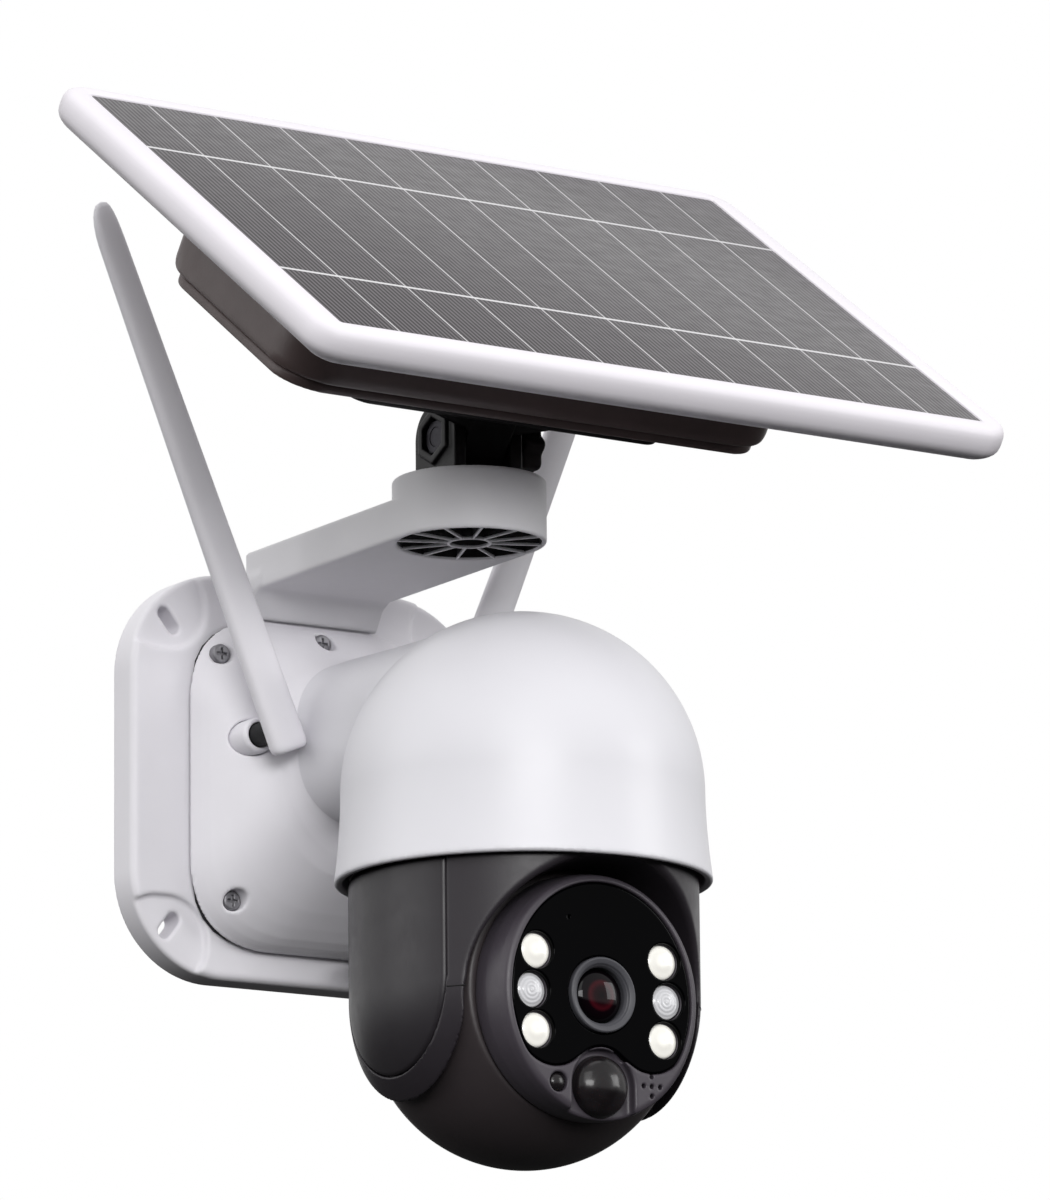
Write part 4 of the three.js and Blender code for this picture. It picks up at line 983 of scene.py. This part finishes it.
def outline_map():
    """Signed distance to the face's outline on a square grid."""
    line = np.arange(-MAP_HALF, MAP_HALF + MAP_STEP / 2, MAP_STEP)
    x, y = np.meshgrid(line, line, indexing="ij")
    best, inside = np.full(x.shape, 1e9), np.zeros(x.shape, bool)
    for (ax, ay), (bx, by) in zip(OUTLINE, np.roll(OUTLINE, -1, 0)):
        dx, dy = bx - ax, by - ay
        t = np.clip(((x - ax) * dx + (y - ay) * dy) / (dx * dx + dy * dy), 0, 1)
        best = np.minimum(best, np.hypot(x - ax - t * dx, y - ay - t * dy))
        if ay != by:
            inside ^= ((ay > y) != (by > y)) & (x < ax + dx * (y - ay) / dy)
    return np.where(inside, -best, best)


OUTLINE_MAP = outline_map()


def outline_at(x, y):
    u = np.clip((x + MAP_HALF) / MAP_STEP, 0, OUTLINE_MAP.shape[0] - 1.001)
    v = np.clip((y + MAP_HALF) / MAP_STEP, 0, OUTLINE_MAP.shape[1] - 1.001)
    i, j = u.astype(int), v.astype(int)
    u, v = u - i, v - j
    low = OUTLINE_MAP[i, j] * (1 - u) + OUTLINE_MAP[i + 1, j] * u
    high = OUTLINE_MAP[i, j + 1] * (1 - u) + OUTLINE_MAP[i + 1, j + 1] * u
    return low * (1 - v) + high * v


# Height, half width, and how far the ring's outline reaches up and down.
BEZEL_STATIONS = np.array([(30.5, 37.8, 38.8, 37.6), (36, 37, 38.4, 38.2), (41, 35.7, 37.7, 38.3),
                           (43.8, 34.6, 37, 38), (44.4, 34, 36.4, 37.4)])


def lamp_holes(x, y, radius):
    holes = [np.hypot(x - lx, y - ly) - radius for lx, ly in LED_SPOTS]
    return np.minimum.reduce(holes)


def bezel_field(x, y, z):
    heights, *columns = BEZEL_STATIONS.T
    half, top, low = (np.interp(z, heights, column) for column in columns)
    body = (np.hypot(x / half, y / np.where(y > 0, top, low)) - 1) * 36
    body = smax(body, np.maximum(z - 44.4, 30.5 - z), 1.6)
    body = smax(body, -smax(outline_at(x, y), 41.5 - z, 0.3), 0.8)
    px, py = x - PIR_AT[0], y - PIR_AT[1]
    scoop = np.hypot(px, np.maximum(py, 0)) - 11.3
    body = smax(body, -smax(scoop, 41.2 - z, 1.5), 1.0)
    sensor = np.hypot(x - SENSOR_AT[0], y - SENSOR_AT[1]) - 3.1
    body = smax(body, -smax(sensor, 42.3 - z, 0.3), 0.5)
    for dx, dy in ((0, 0), (3, 0), (-3, 0), (0, 3), (0, -3)):
        hole = np.hypot(x - SPEAKER_AT[0] - dx, y - SPEAKER_AT[1] - dy) - 0.72
        body = smax(body, -np.maximum(hole, 41 - z), 0.25)
    chamber = np.maximum(np.hypot(x, y) - 30, z - 39.5)
    body = np.maximum(body, -chamber)
    body = np.maximum(body, -(np.hypot(x, y) - 12))
    return np.maximum(body, -lamp_holes(x, y, LED_R))


make("face_bezel_ring", net(bezel_field, (-38.2, -38.6, 30.3), (38.2, 39.2, 44.6), 0.42), "ball",
     charcoal_bezel_painted_highlight, FACE, ["face_bezel"])


def faceplate_field(x, y, z):
    body = slab2(outline_at(x, y) + 0.3, z, 41.8, FACE_DEPTH, 0.45)
    body = smax(body, -(np.hypot(x, y) - 12), 0.4)
    body = smax(body, -lamp_holes(x, y, LED_R), 0.5)
    return smax(body, -(np.hypot(x + 11.6, y - 23.2) - 0.5), 0.2)


make("faceplate_gloss", net(faceplate_field, (-33, -23.5, 41.6), (33, 35.4, 44), 0.36), "ball",
     black_gloss, FACE, ["faceplate"])

profile = [(8.6, 40.2), (11.7, 40.2), (11.7, 44.7), (11.2, 45.1), (9.7, 44.6), (9.4, 44.1),
           (9.1, 43.9), (8.6, 43.0), (8.6, 40.2)]
make("lens_ring_turned", lathe(rounded(profile, 0.3), 128), "ball", lens_ring_material, FACE,
     ["lens_ring"], sharp=50)


def cap_arc(radius, base, rise, first, step):
    """Points of a domed cap, from near its edge to its top."""
    angles = [math.radians(a) for a in range(first, 91, step)]
    return [(radius * math.cos(a), base + rise * math.sin(a)) for a in angles]


def polar_uv(radius):
    """UVs of a round piece: how far out and how far round a point is."""
    return lambda p: (math.hypot(p.x, p.y) / radius, math.atan2(p.y, p.x) / math.tau + 0.5)


LENS_R = 8.3
profile = [(0, 39.4), (LENS_R, 39.4), (LENS_R, 41.4)] + cap_arc(LENS_R, 41.4, 2.5, 6, 6)
profile[-1] = (0, 43.9)
glass = make("lens_glass_element", lathe(profile, 128), "ball", lens_glass, FACE, ["lens_glass"],
             sharp=50)
set_uv(glass, FACE, polar_uv(LENS_R))

for number, (lx, ly) in enumerate(LED_SPOTS, 1):
    kind, lamp_glass, slot, top = "white", led_white, "led_white", 43
    if ly == 0:
        kind, lamp_glass, slot, top = "infrared", led_clear, "led_clear", 42.6
    edge = LED_R - 0.3
    profile = [(0, 39.8), (edge, 39.8), (edge, top - 2), (edge - 0.15, top - 1.5)]
    profile += cap_arc(edge - 0.15, top - 1.5, 1.5, 10, 8) + [(0, top)]
    at = FACE @ moved(lx, ly, 0)
    lamp = make(f"{kind}_lamp_{number}", lathe(profile, 64), "ball", lamp_glass, at,
                [f"{kind}_led_{number}"], sharp=50)
    set_uv(lamp, at, polar_uv(LED_R))

profile = [(0, 41.5), (9.7, 41.5), (9.6, 42.0)] + cap_arc(9.45, 42.1, 5.5, 4, 4)
profile[-1] = (0, 47.6)
make("pir_dome", lathe(profile, 96), "ball", pir_material, FACE @ moved(*PIR_AT, 0), ["pir_lens"],
     sharp=50)
profile = [(0, 42.6), (2.8, 42.6), (2.8, 43.0)] + cap_arc(2.8, 43.0, 1.4, 10, 8) + [(0, 44.4)]
make("light_sensor_dome", lathe(profile, 48), "ball", pir_material, FACE @ moved(*SENSOR_AT, 0),
     ["light_sensor"], sharp=50)


# ---------------------------------------------------------------- pieces kept from the CAD
KEPT = [
    (rubber, ["housing_gasket"]),
    (inner_plastic, ["chassis_plate", "pan_gear"]),
    (steel, ["pan_motor", "pan_pinion", "tilt_motor", "trunnion_left", "trunnion_right",
             "swivel_nut"]),
    (board_green, ["main_board", "lamp_board", "charge_board"]),
    (dark_steel, ["camera_module", "pivot_bolt", "pivot_nut"]),
    (battery_wrap, ["battery_cell_1", "battery_cell_2", "battery_cell_3"]),
]
for material, names in KEPT:
    for name in names:
        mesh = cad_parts[name].data
        mesh.materials.clear()
        mesh.materials.append(material)


# ---------------------------------------------------------------- studio, lights and camera
scene = bpy.context.scene
floor = bpy.data.meshes.new("floor")
floor.from_pydata([(-9, -9, 0), (9, -9, 0), (9, 9, 0), (-9, 9, 0)], [], [(0, 1, 2, 3)])
floor_piece = bpy.data.objects.new("floor", floor)
floor_piece.location = (0, 0, -0.8)
scene.collection.objects.link(floor_piece)
floor.materials.append(moulded("floor_paint", "f4f4f5", 0.6, tint=0.01, grain=40, bump=0.02,
                               swirl=2))
floor_piece.visible_diffuse = False
floor_piece.visible_glossy = False


def softbox(name, place, aim, size, energy, height=None):
    light = bpy.data.lights.new(name, "AREA")
    light.shape = "RECTANGLE"
    light.size, light.size_y = size, height or size
    light.energy = energy
    lamp = bpy.data.objects.new(name, light)
    lamp.location = place
    lamp.rotation_euler = (Vector(aim) - Vector(place)).to_track_quat("-Z", "Y").to_euler()
    scene.collection.objects.link(lamp)


softbox("key_light", (-1.25, -2.1, 1.05), (0, -0.1, 0), 1.5, 12)
softbox("front_light", (-1.0, -2.4, 0.36), (0, -0.1, 0), 1.3, 24, height=0.6)
softbox("left_light", (-2.0, 0.7, 0.5), (0, -0.1, 0.05), 1.3, 6)
softbox("right_light", (1.9, -1.7, 0.6), (0, -0.1, 0.1), 0.9, 12)
softbox("top_light", (0.1, -0.5, 2.1), (0, -0.1, 0), 1.2, 4)

# White to the eye, with a dimmer sky and a dark ground for the light it gives.
scene.world = bpy.data.worlds.new("studio")
sky = Nodes("studio", scene.world, "Background")
height = sky.split(sky.add("ShaderNodeTexCoord").outputs["Generated"])[2]
band = sky.add("ShaderNodeValToRGB")
stops = [(0.0, 0.03), (0.49, 0.04), (0.53, 0.86), (0.8, 0.84), (1.0, 0.7)]
colour_stops(band, [(at, (level,) * 3) for at, level in stops])
sky.link(sky.math("MULTIPLY_ADD", height, 0.5, 0.5), band.inputs[0])
to_eye = sky.add("ShaderNodeLightPath").outputs["Is Camera Ray"]
sky.link(sky.mix(to_eye, band.outputs[0], [1, 1, 1]), sky.shader.inputs["Color"])
sky.set(Strength=1.0)

camera_data = bpy.data.cameras.new("photo_camera")
camera_data.lens = 247.2285
camera_data.sensor_width = 36
camera_data.clip_start = 0.1
camera_data.clip_end = 60
camera = bpy.data.objects.new("photo_camera", camera_data)
right = (0.8441228, -0.5360559, -0.0100422)
up = (-0.1049930, -0.1836411, 0.9773702)
back = (-0.5257692, -0.8239661, -0.2112977)
place = (-1.3542986, -2.2653740, -0.5069778)
rows = [[right[i], up[i], back[i], place[i]] for i in range(3)]
camera.matrix_world = Matrix(rows + [[0, 0, 0, 1]])
scene.collection.objects.link(camera)
scene.camera = camera
scene.view_settings.view_transform = "Standard"
